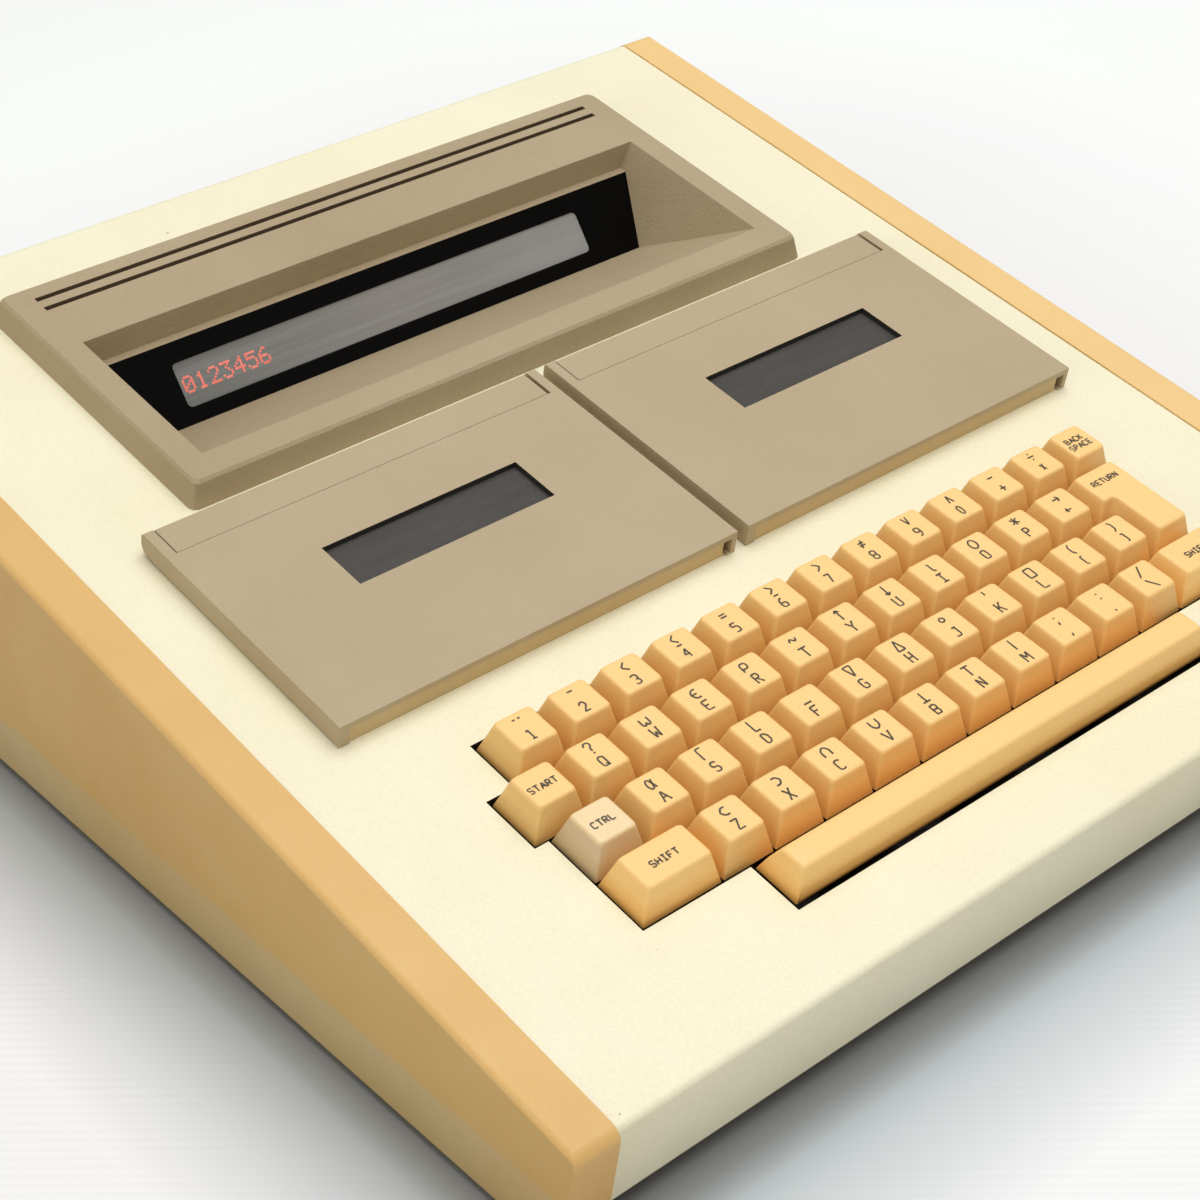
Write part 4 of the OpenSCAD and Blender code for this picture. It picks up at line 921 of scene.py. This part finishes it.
# ---- Casings ----

def cover_share(u, v, w):
    """Full rounding outside, little round the openings in the deck."""
    return np.where((abs(u) < 150) & (v > 15) & (v < 380), 0.35, 1.0)


def lid_share(u, v, w):
    """Full rounding on the outline, next to none at the seam, the windows and the notches."""
    across = np.abs(np.abs(u) - 76)
    rim = (across > 70) | (v < 141)
    return np.where(rim & (v < 223) | (v > 237), 1.0, np.where(v > 223, 0.1, 0.2))


def at_slots(u, v):
    """Whether a place lies at the slots behind the display."""
    return (v > SLOTS_FRONT) & (v < SLOTS_REAR) & (abs(u) < SLOTS_HALF)


def hood_share(u, v, w):
    """Full rounding at the mouth's rim, half at the outer edges, little at slots and foot."""
    slots = at_slots(u, v)
    return np.where(slots | (w < 8) | (abs(u) > 121) | (v > 357) | (v < 250),
                    np.where(slots | (w < 7), 0.15, 0.52), 1.0)


def tighter(corner_v, corner_w, radius, new, depth):
    """A reshaping that gives a rounded corner of a section a smaller radius. Points within
    depth of its arc keep their angle and distance from the arc, whose centre moves out."""
    def reshape(u, v, w):
        dv, dw = v - corner_v - radius, w - corner_w + radius
        apart = np.maximum(np.hypot(dv, dw), 1e-6)
        there = (dv < 0.01) & (dw > -0.01) & (apart > radius - depth)
        shorter = (apart - radius + new) / apart
        return (u, np.where(there, corner_v + new + dv * shorter, v),
                np.where(there, corner_w - new + dw * shorter, w))
    return reshape


def slot_wall_painted_shade(u, v, w):
    """The walls of the two slots behind the display, which are drawn dark as painted shade."""
    return at_slots(u, v) & (w < HOOD_TOP - 0.4)


def outer_side(u, v, w):
    """The long outer face of a side panel, whose mustard is drawn darker as painted shade."""
    return (abs(u) > 176) & (v > 6) & (v < 392) & (w < -1.5)


def window_wall_painted_shade(u, v, w):
    """The walls of a lid's window, seen through it, drawn near-black as painted shade."""
    return (w > 6.1) & (w < 7.9) & (v > 180) & (v < 207) & (abs(abs(u) - 76) < 42)


def key_opening_painted_shade(u, v, w):
    """The walls of the keyboard's opening in the deck, drawn near-black as painted shade."""
    return (w < -0.3) & (w > -3.2) & (v > 20) & (v < 125) & (abs(u) < 135)


def housing_share(u, v, w):
    """Full rounding on the strip between the lid's ears, a tenth elsewhere."""
    return np.where((w > 7) & (v > 230), 1.0, 0.1)


def finer_seam(u, v, w):
    """The strip's front edge a little nearer to the lid."""
    return u, v - 0.25 * ((abs(v - 225.3) < 0.08) & (w > 5)), w


# The walls of the keyboard's opening are drawn near-black: painted shade
softened("top_cover", 0.7, cream, (switch_black_and_painted_shade, key_opening_painted_shade), cover_share,
         tighter(corner_v=0, corner_w=0, radius=4.0, new=2.0, depth=0.5))
# The right panel takes the paler mustard: painted light on the same paint as the left
for side, paint in (("left", mustard), ("right", mustard_painted_light)):
    # The outer faces take the darker mustard with its paler lower band: painted shade and painted
    # light
    softened(side + "_side_panel", 0.8, paint, (mustard_side_painted_shade_and_light, outer_side), None,
             tighter(corner_v=-1.5, corner_w=0.6, radius=6.4, new=4.0, depth=3.0))
    # The walls of each lid's window are drawn near-black: painted shade
    softened(side + "_cassette_lid", 0.7, taupe, (switch_black_and_painted_shade, window_wall_painted_shade), lid_share)
# The slots' walls take the dark brown: painted shade
softened("display_hood", 1.3, hood_taupe, (slot_painted_shade, slot_wall_painted_shade), hood_share)
# The housings' fronts take the tan: painted bounce light from the deck
softened("drive_housings", 0.5, taupe, (tan, lambda u, v, w: v < 224), housing_share,
         finer_seam)
softened("display_bezel", 0.15, black)
softened("drive_plates", 0.25, plate_steel, (can_steel, lambda u, v, w: w > -13.9))

finishes = {"base_pan": pan_paint, "rubber_feet": rubber, "rear_sockets": black,
            "power_switch": red, "power_supply": sheet_steel, "circuit_boards": board_green,
            "display_tube": screen_grey, "drive_motors": can_steel,
            "lid_hinge_pins": screw_steel,
            "left_lid_window": smoked, "right_lid_window": smoked,
            "key_switches": switch_black_and_painted_shade}
for side in ("left", "right"):
    for reel in ("supply", "takeup"):
        finishes[f"{side}_{reel}_spindle"] = white
for node, material in finishes.items():
    mesh = nodes[node].data
    mesh.materials.clear()
    mesh.materials.append(material)

# ---- Room, light and camera ----

HALF_WIDTH, HALF_DEPTH = 0.189, 0.195
# Paper shades, darkened near the machine as painted shadow: right at the machine, within a
# finger's width, a hand's width off and far off
PAINTED_SHADOW_AND_PAPER = [(0.33, 0.345, 0.35, 1), (0.41, 0.465, 0.5, 1), (0.91, 0.925, 0.94, 1),
         (0.955, 0.975, 0.985, 1)]
BLANK = (0.985, 0.99, 0.985, 1)
# The way across the paper's ribs, and from one rib to the next
RIBS_X, RIBS_Y, RIB_PITCH = 0.654, 0.757, 0.0031


def room():
    """A wide sheet of faintly ribbed paper with a painted shadow close round the machine: it is
    painted greyer by the distance from the machine's rectangle. To the camera alone it brightens
    rearwards as painted light and goes over to the blank background."""
    mesh = bpy.data.meshes.new("floor")
    mesh.from_pydata([(-4, -4, 0), (4, -4, 0), (4, 4, 0), (-4, 4, 0)], [], [(0, 1, 2, 3)])
    floor = new_object("floor", mesh)
    material, t, shader, spot = new_material("pale_floor")
    x, y, _ = t.add("ShaderNodeSeparateXYZ", {0: spot}).outputs
    past = [t.maths("MAXIMUM", t.maths("SUBTRACT", t.maths("ABSOLUTE", way), half), 0.0)
            for way, half in ((x, HALF_WIDTH), (y, HALF_DEPTH))]
    away = t.maths("SQRT", t.maths("ADD", t.maths("MULTIPLY", past[0], past[0]),
                                   t.maths("MULTIPLY", past[1], past[1])))
    # Painted shadow: the paper goes greyer towards the machine, darkest within a centimetre of it
    paper = t.mixed(t.between(away, 0.0, 0.06), PAINTED_SHADOW_AND_PAPER[1], PAINTED_SHADOW_AND_PAPER[2])
    paper = t.mixed(t.between(away, 0.0, 0.01), PAINTED_SHADOW_AND_PAPER[0], paper)
    paper = t.mixed(t.between(away, 0.06, 0.3), paper, PAINTED_SHADOW_AND_PAPER[3])
    across = t.maths("ADD", t.maths("MULTIPLY", x, RIBS_X), t.maths("MULTIPLY", y, RIBS_Y))
    rib = t.maths("SINE", t.maths("MULTIPLY", across, 2 * math.pi / RIB_PITCH))
    paper = t.toned(paper, t.between(rib, -1.0, 1.0, 0.975, 1.0))
    seen = t.add("ShaderNodeLightPath").outputs["Is Camera Ray"]
    # Painted light: to the camera alone the paper glows brighter towards the rear
    rearwards = t.maths("MULTIPLY", t.between(y, -0.25, 0.3, 0.0, 0.1),
                        t.between(away, 0.05, 0.3))
    t.feed(shader, {"Base Color": paper, "Roughness": 0.7,
                    "Emission Color": (0.75, 1.0, 0.9, 1),
                    "Emission Strength": t.maths("MULTIPLY", seen, rearwards)})
    blank = t.add("ShaderNodeEmission", {"Color": BLANK}).outputs[0]
    blend = t.add("ShaderNodeMixShader", {
        0: t.maths("MULTIPLY", seen, t.between(away, 0.6, 1.8)), 1: shader.outputs[0], 2: blank})
    out = next(n for n in t.tree.nodes if n.type == "OUTPUT_MATERIAL")
    t.feed(out, {"Surface": blend.outputs[0]})
    mesh.materials.append(material)
    world = bpy.data.worlds.new("room")
    bpy.context.scene.world = world
    world.use_nodes = True
    t = Tree(world.node_tree)
    seen = t.add("ShaderNodeLightPath").outputs["Is Camera Ray"]
    t.feed(world.node_tree.nodes["Background"],
           {"Color": t.mixed(seen, (1.0, 0.89, 0.77, 1), BLANK),
            "Strength": t.between(seen, 0.0, 1.0, 0.4, 1.0)})


def lamp(name, where, target, size, power, tint):
    """A flat lamp of a size in metres and a power in watts, turned to its target."""
    data = bpy.data.lights.new(name, "AREA")
    data.shape, data.size, data.size_y = "RECTANGLE", size[0], size[1]
    data.energy, data.color = power, tint
    light = new_object(name, data)
    light.location = where
    light.rotation_euler = (Vector(target) - Vector(where)).to_track_quat("-Z", "Y").to_euler()


def camera():
    """Looks down on the machine from its front left corner."""
    data = bpy.data.cameras.new("camera")
    data.sensor_width, data.lens = 36.0, 74.62
    data.clip_start, data.clip_end = 0.01, 50.0
    eye = new_object("camera", data)
    right = Vector((0.756647, -0.653683, -0.013556))
    up = Vector((0.373794, 0.415475, 0.829252))
    back = right.cross(up)
    turn = Matrix((right, up, back)).transposed().to_4x4()
    eye.matrix_world = Matrix.Translation((-0.443165, -0.513054, 0.472050)) @ turn
    bpy.context.scene.camera = eye


room()
lamp("overhead", (0.25, -0.2, 1.9), (0, 0, 0.05), (2.0, 1.6), 29.5, (0.965, 1.0, 1.05))
lamp("left", (-2.0, -0.3, 0.8), (0, 0, 0.05), (1.2, 1.0), 6.0, (0.97, 0.98, 0.92))
camera()
bpy.context.scene.view_settings.view_transform = "Standard"
